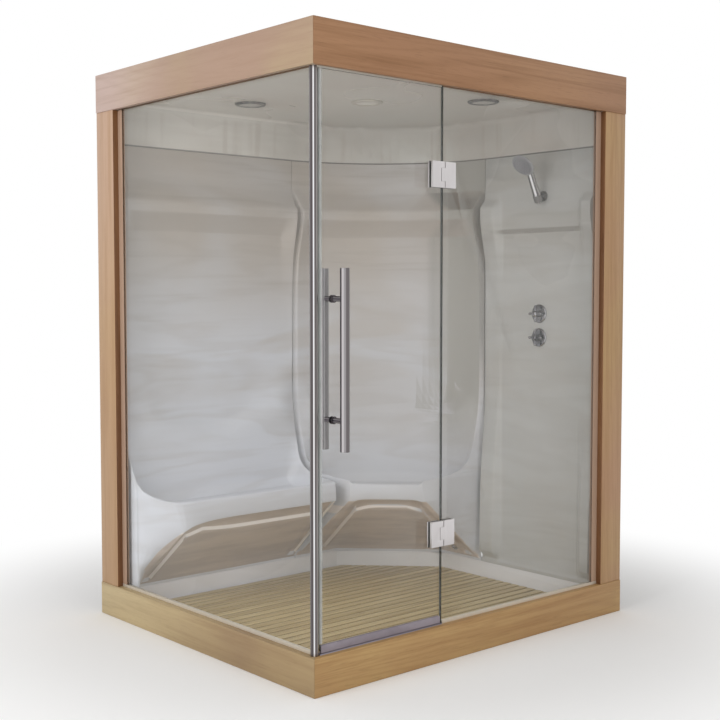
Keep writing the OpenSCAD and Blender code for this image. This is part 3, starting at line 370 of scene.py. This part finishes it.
# %% [markdown]
# ## Acrylic
# Walls, benches, dome and tray are glossy sheet acrylic with a faint marble figure: broad, nearly
# level drifts of warm and cool grey. Two stretched noises are turned a few degrees from level and
# mixed softly. Real sheet is not quite flat, so a very weak wide bump makes its reflections swim.

# %% Acrylic
# The height of the dark joint between the walls and the dome.
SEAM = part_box("dome_ceiling")[0].z


def acrylic(name, pale, warm, cool, veins=0.55, warm_from=None, side=None):
    """The marbled sheet as a finish and its colour, so that each panel can add its own tones.
    warm_from gives two heights between which the sheet turns to its warm, darker tone. side is a tone
    of painted shade towards +X, away from the light, and the two places along x between which it
    takes over."""
    f = Finish(name)
    level = f.moved(scale=(1.1, 1.1, 4.2), turn=(7, -10, 0), shift=(2, 5, 1))
    drift = f.noise(level, 1, 3, 0.5, 0.6)
    f.cloud = f.noise(f.moved(scale=(1.5, 1.5, 2.0), shift=(7, 1, 3)), 1, 2, 0.5, 0.4)
    steeper = f.moved(scale=(1.2, 1.2, 6.5), turn=(10, -14, 0), shift=(4, 2, 6))
    vein = f.noise(steeper, 1, 3, 0.5, 0.8)
    hair = f.noise(f.moved(scale=(1.3, 1.3, 34), turn=(3, -4, 0), shift=(1, 9, 4)), 1, 4, 0.6, 0.4)
    upright = 1 - f.facing("Z").size().rising(0.5, 0.7)
    thread = (1 - ((vein - 0.5).size() * 9).rising(0.0, 1.0)) * upright
    height = f.axis("Z")
    share = drift.rising(0.38, 0.62) * veins
    # The sheet turns warmer and darker towards the top.
    if warm_from:
        share = share * height.rising(0.4, 1.2)
        share = share.most(height.rising(*warm_from) * (f.cloud * 0.4 + 0.75))
    # Painted shade: the sheet turns greyer towards +X, away from the light.
    if side:
        tone, start, end = side
        pale = f.mix(f.axis("X").rising(start, end), pale, tone)
    colour = f.mix(share, pale, warm)
    colour = f.mix(f.cloud.rising(0.42, 0.70) * 0.4, colour, cool)
    colour = f.mix(thread * 0.16, colour, darker(warm, 0.8))
    colour = f.mix(hair.rising(0.50, 0.74) * (share * 0.30 + 0.06) * upright, colour,
                   darker(warm, 0.75))
    joint = 1 - (height - SEAM).size().rising(0.0015, 0.0045)
    return f, f.mix(joint * 0.75, colour, tint(70, 62, 56))


def glossy(f, colour, rough=0.28):
    """Ends an acrylic finish with its gloss and the weak wide bump."""
    swim = f.noise(f.moved(), 5.0, 1)
    return f.skin(colour=colour, rough=f.cloud * 0.08 + (rough - 0.04), ior=1.49,
                  normal=f.bump(swim, 0.05, 0.004))


# %% [markdown]
# The two bench units have shade and light of their own. A heel recess is browner in the shade of
# the seat's lip, and catches light on the brow and the slanted side of its raised panel. Masks find
# these by height and by the way that the surface looks, so the tones end where the shape turns.

# %% Bench acrylic
# Heights in metres between which a mask rises.
UNDER_SEAT = (0.45, 0.55)
BROW_FOOT, BROW_TOP = (0.330, 0.342), (0.370, 0.378)
SHELF = (0.9, 1.0)
# The left recess begins where x is 0.44 of the height less 0.823, a line that leans with its side.
RECESS_SLANT, RECESS_START = 0.44, 0.823


def bench_acrylic(name, right, glint):
    """right is the tone of painted shade towards +X, away from the light, and glint the painted
    highlight where a recess catches light. A face that is turned away from the light is greyer, in
    painted shade."""
    f, colour = acrylic(name, tint(217, 219, 226), tint(182, 171, 159), tint(208, 211, 218),
                        warm_from=(0.95, 1.6), side=(right, -0.1, 0.5))
    across, height = f.axis("X"), f.axis("Z")
    down = 0 - f.facing("Z")
    leftwards = 0 - f.facing("X")
    low = 1 - height.rising(*UNDER_SEAT)
    inside = (across - height * RECESS_SLANT + RECESS_START).rising(-0.004, 0.003)

    shade = down.rising(0.20, 0.42) * (1 - leftwards.rising(0.70, 0.75)) * low * inside
    grain = f.noise(f.moved(scale=(3, 3, 26), turn=(0, -4, 0)), 1, 3, 0.6)
    brown = f.mix(grain.rising(0.35, 0.65), tint(208, 193, 180), tint(192, 177, 166))
    colour = f.mix(shade, colour, brown)

    light = leftwards.rising(0.70, 0.75) * down.rising(0.36, 0.42) * low
    brow = height.rising(*BROW_FOOT) * (1 - height.rising(*BROW_TOP))
    brow = brow * (1 - down.rising(0.10, 0.25)) * (1 - across.rising(0.40, 0.46))
    colour = f.mix(light.most(brow) * inside, colour, glint)

    # Painted shade: faces near the shower wall that look left are greyer, and the strip at the
    # corner's far edge is darker still.
    turned = leftwards.rising(0.85, 0.96) * across.rising(0.55, 0.66) * height.rising(0.4, 0.9)
    colour = f.mix(turned * 0.92, colour, tint(166, 163, 156))
    edge = (1 - leftwards.rising(0.85, 0.93)) * across.rising(0.66, 0.69) * height.rising(0.8, 1.2)
    colour = f.mix(edge * 0.8, colour, tint(134, 130, 124))
    # Painted shade on faces that look down above the seat, under a ledge.
    ledge = down.rising(0.15, 0.35) * height.rising(*SHELF)
    return glossy(f, f.mix(ledge * 0.55, colour, tint(174, 164, 154)), rough=0.36)


# The second tone of each unit is its painted shade towards +X, and the last its painted highlight.
left_acrylic = bench_acrylic("left_unit_acrylic", tint(216, 218, 222), tint(252, 246, 240))
corner_acrylic = bench_acrylic("corner_unit_acrylic", tint(200, 200, 203), tint(236, 227, 220))
print("finishes so far", Finish.count)

# %% [markdown]
# The shower wall has one ledge whose underside is darkened with painted shade. The dome has a paler
# cove, a painted highlight where light runs up its curve, and faint upright brush marks on its wall.
# The tray is the whitest sheet. These are the same marbled sheet with one mask or two more, so no new
# kind of finish is needed.

# %% Acrylic of the shower wall, the dome and the tray
f, colour = acrylic("shower_wall_acrylic",
                    tint(187, 186, 183), tint(174, 169, 161), tint(181, 183, 181))
# Painted shade on the underside of the ledge.
ledge = (0 - f.facing("Z")).rising(0.15, 0.35) * f.axis("Z").rising(*SHELF)
shower_acrylic = glossy(f, f.mix(ledge * 0.7, colour, tint(140, 134, 126)))

f, colour = acrylic("dome_acrylic", tint(216, 211, 202), tint(196, 186, 176), tint(208, 208, 200),
                    veins=0.7, side=(tint(194, 188, 180), -0.4, 0.6))
down = 0 - f.facing("Z")
brushmark = f.noise(f.moved(scale=(26, 26, 0.8)), 1, 3, 0.6)
colour = f.mix(brushmark.rising(0.5, 0.72) * (1 - down.rising(0.1, 0.4)) * 0.35, colour,
               tint(178, 166, 154))
# Painted highlight on the cove.
cove = down.rising(0.40, 0.60) * (1 - down.rising(0.80, 0.95)) * (1 - f.axis("X").rising(-0.1, 0.3))
dome_acrylic = glossy(f, f.mix(cove * 0.6, colour, tint(236, 230, 222)))

f, colour = acrylic("tray_acrylic", tint(242, 242, 247), tint(228, 225, 222), tint(232, 234, 240),
                    veins=0.3, side=(tint(212, 210, 208), -0.3, 0.5))
tray_acrylic = glossy(f, colour)
print("finishes so far", Finish.count)

# %% [markdown]
# ## Glass
# The panes are 8 mm toughened glass. Clear glass that bends light makes slow, noisy pictures, and
# in a flat pane nobody sees the bend. So a pane is a thin mirror film: almost see-through head on,
# and more of a mirror at a glancing angle, as Fresnel says. Its cut edges are ground, and there the
# film thickens to a dark grey, which the surface's own direction finds.

# %% Glass
def pane(name, flat_axis):
    """Clear pane whose flat faces look along one axis."""
    f = Finish(name)
    glance = f.node("LayerWeight", {}, {"Blend": 0.5}, "Facing")
    gloss = glance ** 5 * 0.9 + 0.035
    smear = f.noise(f.moved(scale=(1.0, 1.0, 0.35)), 2.4, 2)
    edge = 1 - f.facing(flat_axis).size().rising(0.4, 0.8)
    colour = f.mix(edge, tint(246, 250, 248), tint(58, 62, 60))
    alpha = (gloss * 0.85 + smear * 0.018).most(edge * 0.9)
    return f.skin(colour=colour, metal=1 - edge, rough=0.02, alpha=alpha)


glass_front = pane("clear_glass_front", "Y")
glass_side = pane("clear_glass_side", "X")
print("finishes so far", Finish.count)

# %% [markdown]
# ## Metals
# Polished tube, brushed bars and plated fittings differ in roughness and in the direction of their
# fine lines. Brushing is a noise drawn out along the bar, which changes tone and roughness a
# little. Plated parts are smooth with faint water spots.

# %% Metals
# The level direction along which the painted reflection stripes of a round bar follow each other.
RIGHTWARDS = (0.776, -0.631, 0)
BAND_BLUR = 0.07
LINES = {"x": (6, 700, 700), "z": (700, 700, 6)}


def brushed(name, along, pale, dark, rough=0.3, lines=0.5, reflection_bands=(), end=None):
    """Satin metal. Each reflection band is a tone and the sideways lean of the surface at which it
    takes over, so a round bar gets painted reflections: the light and dark stripes that a room gives
    it. end is the tone of level faces, a painted dark reflection."""
    f = Finish(name)
    line = f.noise(f.moved(scale=LINES[along]), 1, 3, 0.6)
    cloud = f.noise(f.moved(), 9, 2)
    colour = f.mix(line.rising(0.3, 0.7) * lines, pale, dark)
    colour = f.mix(cloud.rising(0.5, 0.8) * 0.25, colour, dark)
    # Painted reflections: stripes by the lean of the surface.
    lean = f.across(RIGHTWARDS) if reflection_bands else None
    for tone, start in reflection_bands:
        colour = f.mix(lean.rising(start - BAND_BLUR, start + BAND_BLUR), colour, tone)
    # Painted dark reflection on faces that look up or down.
    if end:
        colour = f.mix(f.facing("Z").size().rising(0.3, 0.7), colour, end)
    return f.skin(colour=colour, metal=1, rough=line * 0.12 + rough,
                  normal=f.bump(line, 0.08, 0.0002))


def plated(name, pale, dark, rough=0.1):
    """Smooth plated metal with faint water spots."""
    f = Finish(name)
    spot = f.noise(f.moved(), 60, 3, 0.6)
    cloud = f.noise(f.moved(), 14, 2)
    colour = f.mix(cloud.rising(0.35, 0.7), pale, dark)
    return f.skin(colour=colour, metal=1, rough=spot.rising(0.5, 0.75) * 0.12 + rough)


def trim(name):
    """The glazing channel is pale along the sill, and dark brown under the fascia."""
    f = Finish(name)
    line = f.noise(f.moved(scale=(5, 5, 400)), 1, 3, 0.6)
    sill_tone = f.mix(line.rising(0.3, 0.7) * 0.4, tint(222, 214, 200), tint(196, 186, 170))
    head_tone = f.mix(line.rising(0.3, 0.7) * 0.4, tint(132, 104, 80), tint(110, 84, 62))
    colour = f.mix(f.axis("Z").rising(1.0, 1.2), sill_tone, head_tone)
    return f.skin(colour=colour, metal=0.4, rough=line * 0.12 + 0.36,
                  normal=f.bump(line, 0.08, 0.0002))


# %% The metals of this cabin
# The stripes of the post, the bars and the handset are painted reflections.
post_steel = brushed(
    "brushed_steel_post", "z", tint(142, 138, 139), tint(128, 124, 125), lines=0.3,
    reflection_bands=((tint(98, 92, 93), -0.76), (tint(250, 249, 250), -0.17),
           (tint(110, 104, 104), 0.16), (tint(152, 148, 146), 0.62)))
bar_steel = brushed(
    "brushed_steel_bar", "z", tint(92, 86, 92), tint(80, 76, 80), lines=0.3,
    reflection_bands=((tint(206, 202, 203), -0.70), (tint(166, 162, 164), -0.26), (tint(156, 152, 154), 0.0),
           (tint(114, 109, 110), 0.22), (tint(160, 156, 158), 0.88)),
    end=tint(110, 104, 108))
stick_steel = brushed(
    "handset_steel", "z", tint(120, 118, 118), tint(100, 98, 98), lines=0.2,
    reflection_bands=((tint(232, 230, 230), -0.6), (tint(110, 106, 106), -0.12),
           (tint(222, 220, 220), 0.28), (tint(126, 122, 122), 0.75)))
steel_x = brushed("brushed_steel_across", "x", tint(176, 172, 172), tint(132, 128, 130))
hinge_metal = brushed("hinge_satin", "z", tint(214, 210, 210), tint(196, 192, 192),
                      rough=0.32, lines=0.3)
threshold_metal = brushed("threshold_metal", "x", tint(150, 144, 152), tint(124, 118, 126),
                          rough=0.34)
channel_trim = trim("sill_trim")
chrome = plated("chrome_fittings", tint(168, 166, 168), tint(120, 118, 122))
dark_chrome = plated("dark_chrome", tint(104, 98, 102), tint(78, 74, 78), rough=0.2)
brass = plated("plain_brass", tint(206, 176, 108), tint(176, 140, 78), rough=0.25)
galvanised = plated("galvanised_frame", tint(176, 180, 184), tint(138, 142, 148), rough=0.4)
print("finishes so far", Finish.count)

# %% [markdown]
# ## Plastics, rubber and lamp glass
# These are small, but none is one flat colour: moulded plastic has a fine pebble, rubber has dusty
# patches, and the lamp lens is frosted. So two noises serve them all, a fine one for the pebble and
# a broad one for the dust.

# %% Plastics, rubber and lamp glass
def moulded_plastic(name, base, other, rough, strength=0.15, alpha=1.0):
    """Plastic or rubber with a fine pebble and dusty patches of another tone."""
    f = Finish(name)
    pebble = f.noise(f.moved(), 900, 2)
    dust = f.noise(f.moved(), 12, 3)
    colour = f.mix(dust.rising(0.35, 0.7), base, other)
    return f.skin(colour=colour, rough=dust * 0.15 + rough, alpha=alpha,
                  normal=f.bump(pebble, strength, 0.0002))


def by_place(name, outer, inner, rough, metal=0.0):
    """The middle downlight is painted paler, a painted highlight for the light in the cabin that
    washes it out.
    """
    f = Finish(name)
    pebble = f.noise(f.moved(), 300, 2)
    dust = f.noise(f.moved(), 40, 3)
    # Painted highlight: the middle downlight takes the paler tone.
    middle = 1 - f.axis("X").size().rising(0.14, 0.20)
    colour = f.mix(middle, outer, inner)
    colour = f.mix(dust.rising(0.4, 0.7) * 0.3, colour, darker(inner, 0.8))
    return f.skin(colour=colour, metal=metal, rough=dust * 0.15 + rough,
                  normal=f.bump(pebble, 0.1, 0.0002))


rubber = moulded_plastic("grey_rubber", tint(92, 92, 92), tint(112, 112, 110), rough=0.6)
clear_seal = moulded_plastic("clear_seal", tint(206, 210, 208), tint(186, 190, 188),
                             rough=0.25, alpha=0.45)
sweep_seal = moulded_plastic("smoky_sweep", tint(158, 150, 160), tint(140, 132, 142),
                             rough=0.35, alpha=0.92)
joint_seal = moulded_plastic("joint_sealant", tint(138, 132, 126), tint(120, 114, 108), rough=0.5)
dark_plastic = moulded_plastic("spray_plate", tint(126, 124, 128), tint(146, 144, 148), rough=0.4)
bracket_plastic = moulded_plastic("bracket_plastic", tint(104, 100, 98), tint(124, 120, 118),
                                  rough=0.35)
head_plastic = moulded_plastic("plated_plastic", tint(168, 166, 168), tint(146, 144, 148),
                               rough=0.2, strength=0.02)
can_metal = moulded_plastic("lamp_can", tint(120, 120, 122), tint(98, 98, 100), rough=0.5)
# The paler tone of each is the middle downlight's painted highlight.
lens_glass = by_place("frosted_lens", tint(190, 184, 178), tint(236, 232, 222), rough=0.35)
lamp_steel = by_place("downlight_steel", tint(96, 90, 88), tint(214, 208, 198),
                      rough=0.3, metal=0.6)
print("finishes so far", Finish.count)

# %% [markdown]
# ## Helpers for dressing a part
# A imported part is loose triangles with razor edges. A merged copy with small bevels catches light
# along its edges as a real one does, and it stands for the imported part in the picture. The copy is
# selected alone first, because an operator works on everything that is selected.

# %% Helpers for dressing a part
def pick(piece):
    """Selects one piece alone and makes it active."""
    bpy.ops.object.select_all(action="DESELECT")
    piece.select_set(True)
    bpy.context.view_layer.objects.active = piece


def edit(piece):
    """Opens a piece in edit mode, with all of it selected."""
    pick(piece)
    bpy.ops.object.mode_set(mode="EDIT")
    bpy.ops.mesh.select_all(action="SELECT")


def leave():
    bpy.ops.object.mode_set(mode="OBJECT")


def finished(piece, material, *replaced):
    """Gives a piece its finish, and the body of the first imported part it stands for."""
    piece.data.materials.clear()
    piece.data.materials.append(material)
    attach(piece, nodes[replaced[0]]["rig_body"])
    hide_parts(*replaced)
    return piece


def merged(node, name):
    """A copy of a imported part, with its loose triangles joined."""
    piece = bpy.data.objects.new(name, nodes[node].data.copy())
    bpy.context.scene.collection.objects.link(piece)
    edit(piece)
    bpy.ops.mesh.remove_doubles(threshold=0.00002)
    leave()
    return piece


def shaped(piece, kind, **values):
    """Adds one modifier and applies it."""
    pick(piece)
    modifier = piece.modifiers.new(kind.lower(), kind)
    for key, value in values.items():
        setattr(modifier, key, value)
    bpy.ops.object.modifier_apply(modifier=modifier.name)


def smoothed(piece, least):
    """Shades a piece smooth, apart from the edges that turn by more than least degrees."""
    pick(piece)
    bpy.ops.object.shade_smooth_by_angle(angle=math.radians(least))


def dressed(node, material, width, segments=2, angle=32):
    """A merged copy of a part, in which the edges that turn by more than angle degrees are eased
    by width."""
    piece = merged(node, node + "_dressed")
    edit(piece)
    bpy.ops.mesh.dissolve_limited(angle_limit=math.radians(0.8))
    leave()
    shaped(piece, "BEVEL", width=width, segments=segments, limit_method="ANGLE",
           angle_limit=math.radians(angle), use_clamp_overlap=True)
    smoothed(piece, 38)
    print(piece.name, len(piece.data.polygons), "faces")
    return finished(piece, material, node)


print("helpers ready")

# %% [markdown]
# ## Timber casing
# The boards are planed with eased edges of about a millimetre and a half. Each packed board is copied
# and bevelled, which is quicker and truer than measuring six boards again. The face of a post that
# looks at the glass is a darker brown, so its faces take a second material by direction.

# %% Timber casing
casing = {"fascia_front": cedar_warm_x, "fascia_left": cedar_light_y, "post_right": cedar_warm_z,
          "post_left": cedar_light_z, "sill_front": sill_board_x, "sill_left": sill_board_y}
boards = {node: dressed(node, material, 0.0015) for node, material in casing.items()}


def darken_rebate(board, axis, material):
    """Gives the face of a post that looks down one axis the darker timber."""
    board.data.materials.append(material)
    for face in board.data.polygons:
        if face.normal[axis] < -0.9:
            face.material_index = 1


darken_rebate(boards["post_left"], 1, rebate_wood)
darken_rebate(boards["post_right"], 0, rebate_wood)
print("boards", len(boards))

# %% [markdown]
# ## Hidden frame
# Behind the walls and over the dome are spruce battens, bearers and rails, and a frame of
# galvanised steel on levelling feet. Only views from behind or above show them, and sawn timber and
# folded steel are plain shapes, so each part keeps its packed form, with a narrow bevel of one step.

# %% Hidden frame
for node in ("head_rails", "roof_bearers", "wall_battens"):
    dressed(node, spruce, 0.001, 1)
for node in ("rear_corner_post", "wall_studs", "top_rails", "frame_rails", "levelling_feet"):
    dressed(node, galvanised, 0.001, 1)

# %% [markdown]
# ## Moulded walls and benches
# Vacuum-formed acrylic has no sharp edges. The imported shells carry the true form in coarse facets.
# They could be drawn again as curved sheets, but then they would not fit their neighbours as well.
# So a merged copy is turned into quads where it can be and subdivided, with clear edges creased.

# %% Moulded walls and benches
def sharp_edges(piece, least):
    """Selects the edges that turn by more than least degrees."""
    bpy.ops.mesh.select_mode(type="EDGE")
    bpy.ops.mesh.select_all(action="DESELECT")
    bpy.ops.mesh.edges_select_sharp(sharpness=math.radians(least))


def moulded(node, material):
    """A subdivided copy of a shell. Edges of the form are creased, and its sharpest ones less."""
    piece = merged(node, node + "_moulded")
    edit(piece)
    bpy.ops.mesh.tris_convert_to_quads(face_threshold=math.radians(60),
                                       shape_threshold=math.radians(60))
    sharp_edges(piece, 16)
    bpy.ops.transform.edge_crease(value=1.0)
    sharp_edges(piece, 62)
    bpy.ops.transform.edge_crease(value=-0.35)
    leave()
    shaped(piece, "SUBSURF", levels=2, render_levels=2)
    smoothed(piece, 27)
    print(piece.name, len(piece.data.polygons), "faces")
    return finished(piece, material, node)


shells = {"left_bench_unit": left_acrylic, "corner_bench_unit": corner_acrylic,
          "shower_wall_panel": shower_acrylic}
for node, material in shells.items():
    moulded(node, material)
dressed("dome_ceiling", dome_acrylic, 0.0008, 1, angle=40)
dressed("shower_tray", tray_acrylic, 0.003, 3)
dressed("joint_strips", joint_seal, 0.0005, 1)

# %% [markdown]
# ## Duckboard
# The slats are planed with eased edges, because bare feet stand on them, and they are screwed to
# bearers that run the other way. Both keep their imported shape, with a wider bevel on the slats.

# %% Duckboard
dressed("duckboard_slats", duckboard_wood, 0.002, 2)
dressed("duckboard_bearers", bearer_wood, 0.001, 1)

# %% [markdown]
# ## Glass panes and what holds them
# A pane's ground edge is only a fine chamfer, so one narrow step is enough. The round post in the
# corner, the channels, the threshold and the seals are long extrusions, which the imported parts
# already give, so they only need their edges eased by half a millimetre.

# %% Glass panes and what holds them
panes = {"side_glass": glass_side, "front_glass": glass_front, "door_glass": glass_front}
for node, material in panes.items():
    dressed(node, material, 0.0008, 1)
dressed("corner_post", post_steel, 0.0006, 1)
dressed("glazing_channels", channel_trim, 0.0004, 1)
dressed("threshold_strip", threshold_metal, 0.0004, 1)
dressed("jamb_channels", jamb_wood, 0.0006, 1)
dressed("door_sweep", sweep_seal, 0.0004, 1)
dressed("door_edge_seal", clear_seal, 0.0004, 1)

# %% [markdown]
# ## Hinges
# Each hinge has a satin leaf on either pane, held by a clamp plate over rubber gaskets, and a pin
# between the leaves. Cast plates have soft corners, so they get a bevel of a little over a
# millimetre in three steps. One step will do for the thin gaskets and the screws.

# %% Hinges
for node in ("hinge_fixed_leaves", "hinge_fixed_clamps", "hinge_door_leaves", "hinge_door_clamps"):
    dressed(node, hinge_metal, 0.0012, 3)
for node in ("hinge_fixed_gaskets", "hinge_door_gaskets"):
    dressed(node, rubber, 0.0003, 1)
for node in ("hinge_fixed_screws", "hinge_door_screws", "hinge_pins"):
    dressed(node, chrome, 0.0004, 1)

# %% [markdown]
# ## Pull handle
# A pull bar is one tube on two short posts, the same inside and outside the door. A tube is a
# cylinder whose ends are eased and closed with a plug a little below the rim. The post is a shorter
# one whose foot is necked where it meets its collar. Both start as primitives, take their shape in
# edit mode, and are joined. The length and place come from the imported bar.

# %% Pull handle
BAR_RADIUS = 0.016
POST_RADIUS = 0.009


def cylinder(name, radius, depth, place, turn=(0, 0, 0), sides=48):
    """A cylinder whose place and turn are in its mesh."""
    bpy.ops.object.select_all(action="DESELECT")
    bpy.ops.mesh.primitive_cylinder_add(vertices=sides, radius=radius, depth=depth,
                                        location=place, rotation=turn)
    bpy.context.object.name = name
    bpy.ops.object.transform_apply(location=True, rotation=True, scale=True)
    return bpy.context.object


def flat_ends(piece, axis, ends=(-1, 1)):
    """Selects the flat ends of a bar along one axis."""
    edit(piece)
    bpy.ops.mesh.select_mode(type="FACE")
    bpy.ops.mesh.select_all(action="DESELECT")
    leave()
    for face in piece.data.polygons:
        face.select = any(face.normal[axis] * end > 0.99 for end in ends)
    bpy.ops.object.mode_set(mode="EDIT")


def inset(*steps):
    """Insets the selected faces once for each pair of thickness and depth."""
    for thickness, depth in steps:
        bpy.ops.mesh.inset(thickness=thickness, depth=depth, use_individual=True)


def tube(name, radius, low, high, x, y):
    """An upright tube with eased ends, a rim, and a plug that lies a little below the rim."""
    piece = cylinder(name, radius, high - low, (x, y, (low + high) / 2))
    flat_ends(piece, 2)
    bpy.ops.mesh.bevel(offset=0.0009, segments=3, affect="EDGES")
    leave()
    flat_ends(piece, 2)
    inset((0.0011, 0), (0.0003, -0.0008), (0.0035, 0.0004))
    leave()
    return piece


def post(name, x, y_bar, y_face, z):
    """A level post from the bar to the glass, with a neck at the glass."""
    side = 1 if y_face > y_bar else -1
    piece = cylinder(name, POST_RADIUS, abs(y_face - y_bar), (x, (y_bar + y_face) / 2, z),
                     (math.radians(90), 0, 0), 32)
    flat_ends(piece, 1, (side,))
    inset((0.0012, 0), (0.0002, -0.0016))
    leave()
    return piece


def joined(name, *pieces):
    """Makes one smoothly shaded piece of several."""
    pick(pieces[0])
    for piece in pieces:
        piece.select_set(True)
    bpy.ops.object.join()
    pieces[0].name = name
    bpy.ops.object.shade_smooth_by_angle(angle=math.radians(35))
    return pieces[0]


# %% The two pull bars
stud_low, stud_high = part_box("handle_studs")
stud_radius = (stud_high.x - stud_low.x) / 2
posts_z = (stud_low.z + stud_radius, stud_high.z - stud_radius)
for node, outside in (("handle_outer_bar", True), ("handle_inner_bar", False)):
    low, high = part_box(node)
    x = (low.x + high.x) / 2
    bar_y, face_y = (low.y + BAR_RADIUS, high.y) if outside else (high.y - BAR_RADIUS, low.y)
    parts = [tube(node + "_tube", BAR_RADIUS, low.z, high.z, x, bar_y)]
    parts += [post(node + "_post", x, bar_y, face_y, z) for z in posts_z]
    finished(joined(node + "_turned", *parts), bar_steel, node)
print("pull bars 2, posts at", [round(z, 3) for z in posts_z])
for node in ("handle_studs", "handle_collars"):
    dressed(node, dark_chrome, 0.0008, 2)

# %% [markdown]
# ## Shower
# The controls are plated castings with soft corners, the bracket and the head are moulded, and the
# valve and pipe behind the wall are brass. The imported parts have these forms, so a bevel of about a
# millimetre finishes them.

# %% Shower
for node in ("valve_roses", "flow_handle", "temperature_handle"):
    dressed(node, chrome, 0.001, 3)
for node in ("bracket_base", "bracket_cradle"):
    dressed(node, bracket_plastic, 0.001, 3)
dressed("handset_handle", stick_steel, 0.001, 2)
dressed("shower_head", head_plastic, 0.0008, 2)
dressed("spray_face", dark_plastic, 0.0006, 2)
for node in ("valve_body", "riser_pipe"):
    dressed(node, brass, 0.001, 2)

# %% [markdown]
# ## Spray nozzles
# Soft rubber nozzles stand in the holes of the spray plate, in three rings. One is a small cone
# whose tip is inset and pushed in. It is copied into each hole. The plate is tilted, so the rings
# are laid out round the direction that its largest face looks in.

# %% Where the spray plate is and looks
plate = nodes["spray_face"].data
widest = {}
for face in plate.polygons:
    key = tuple(round(v, 2) for v in face.normal)
    widest[key] = widest.get(key, 0) + face.area
sides = sorted(widest, key=widest.get, reverse=True)[:2]
outward = Vector(min(sides, key=lambda n: n[2])).normalized()
rim = [v.co for v in plate.vertices]
middle = sum(rim, Vector()) / len(rim)
middle += outward * (max((v - middle).dot(outward) for v in rim))
tilt = outward.to_track_quat("Z", "Y").to_matrix()
print("plate looks along", [round(v, 2) for v in outward])

# %% Spray nozzles
RING_PITCH = 0.012
NOZZLES_IN_FIRST_RING = 6
NOZZLE_STAND = 0.0004
bpy.ops.object.select_all(action="DESELECT")
bpy.ops.mesh.primitive_cone_add(vertices=16, radius1=0.0019, radius2=0.0011, depth=0.003,
                                location=(0, 0, 0))
pattern = bpy.context.object
flat_ends(pattern, 2, (1,))
inset((0.0004, 0), (0.0001, -0.0006))
leave()
nozzles = []
for ring in (1, 2, 3):
    reach = ring * RING_PITCH
    for i in range(ring * NOZZLES_IN_FIRST_RING):
        angle = math.radians(i * 60 / ring)
        place = middle + tilt @ Vector((reach * math.cos(angle), reach * math.sin(angle),
                                        NOZZLE_STAND))
        copy = pattern.copy()
        copy.data = pattern.data.copy()
        bpy.context.scene.collection.objects.link(copy)
        for vertex in copy.data.vertices:
            vertex.co = tilt @ vertex.co + place
        nozzles.append(copy)
bpy.data.objects.remove(pattern)
rows = joined("spray_nozzles", *nozzles)
rows.data.materials.append(rubber)
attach(rows, nodes["spray_face"]["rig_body"])
print("nozzles", len(nozzles))

# %% [markdown]
# ## Steam outlet, waste and downlights
# Steam comes out of a small plated oval near the floor, and water leaves through a grate under
# the duckboard. Three downlights sit in the dome, each a ring, a frosted lens and a can. All are
# turned or pressed parts, which their packed forms show well once their edges are eased.

# %% Steam outlet and waste
dressed("steam_outlet", chrome, 0.0008, 2)
for node in ("drain_flange", "drain_grate"):
    dressed(node, steel_x, 0.0005, 2)

# %% Downlights
dressed("downlight_rings", lamp_steel, 0.0008, 2)
dressed("downlight_lenses", lens_glass, 0.0006, 2)
dressed("downlight_cans", can_metal, 0.0006, 1)

# %% [markdown]
# ## Floor and background
# The cabin stands on a plain pale floor that runs into white. Near the object the floor is a real
# surface and takes its shadow. Further out it fades into plain white, so no horizon shows. The sky
# lights the cabin at less than full strength, and is plain white only where it is seen.

# %% Floor
WHITE = (1, 1, 1, 1)
FADE = (1.05, 2.3)
bpy.ops.mesh.primitive_grid_add(x_subdivisions=8, y_subdivisions=8, size=40,
                                location=(0, 0, -0.0005))
floor = bpy.context.object
floor.name = "studio_floor"
f = Finish("studio_floor")
reach = f.node("VectorMath", {"operation": "LENGTH"}, {0: f.place}, "Value")
grit = f.noise(f.moved(), 30, 2)
pale_floor = f.mix(grit * 0.1, tint(248, 248, 248), tint(240, 240, 240))
ground = f.node("BsdfDiffuse", {}, {"Color": pale_floor})
white = f.node("Emission", {}, {"Color": WHITE, "Strength": 1.0})
surface = f.node("MixShader", {}, {0: f.seen() * reach.rising(*FADE), 1: ground, 2: white})
f.node("OutputMaterial", {}, {"Surface": surface})
floor.data.materials.append(f.material)
bpy.ops.object.transform_apply(location=True, rotation=True, scale=True)
print("floor fades between", FADE, "metres")

# %% Background
world = bpy.data.worlds.new("studio")
bpy.context.scene.world = world
sky = Shader(world)
soft = sky.node("Background", {}, {"Color": (1.0, 0.99, 0.975, 1), "Strength": 0.62})
clear = sky.node("Background", {}, {"Color": WHITE, "Strength": 1.0})
blend = sky.node("MixShader", {}, {0: sky.seen(), 1: soft, 2: clear})
sky.node("OutputWorld", {}, {"Surface": blend})
print("background nodes", len(sky.tree.nodes))

# %% [markdown]
# ## Studio light
# One wide soft light from the left is a little stronger than the sky, because the left side of the
# cabin is the lighter one in the photograph. A weaker one fills the front. Flat glass would show
# each lamp as a sharp disc, so both are left out of reflections, which show the white room alone.

# %% Studio light
CABIN_MIDDLE = (0, 0, 1.1)


def soft_light(name, place, size, power):
    """A round area lamp that looks at the middle of the cabin."""
    bpy.ops.object.light_add(type="AREA", location=place)
    lamp = bpy.context.object
    lamp.name = name
    lamp.data.shape = "DISK"
    lamp.data.size = size
    lamp.data.energy = power
    lamp.visible_glossy = False
    aim = Vector(CABIN_MIDDLE) - Vector(place)
    lamp.rotation_euler = aim.to_track_quat("-Z", "Y").to_euler()
    return lamp


lamps = [soft_light("left_light", (-4.8, -0.6, 2.6), size=2.6, power=85),
         soft_light("front_light", (-0.6, -5.2, 2.2), size=2.6, power=45)]
print("lamps", [lamp.name for lamp in lamps])
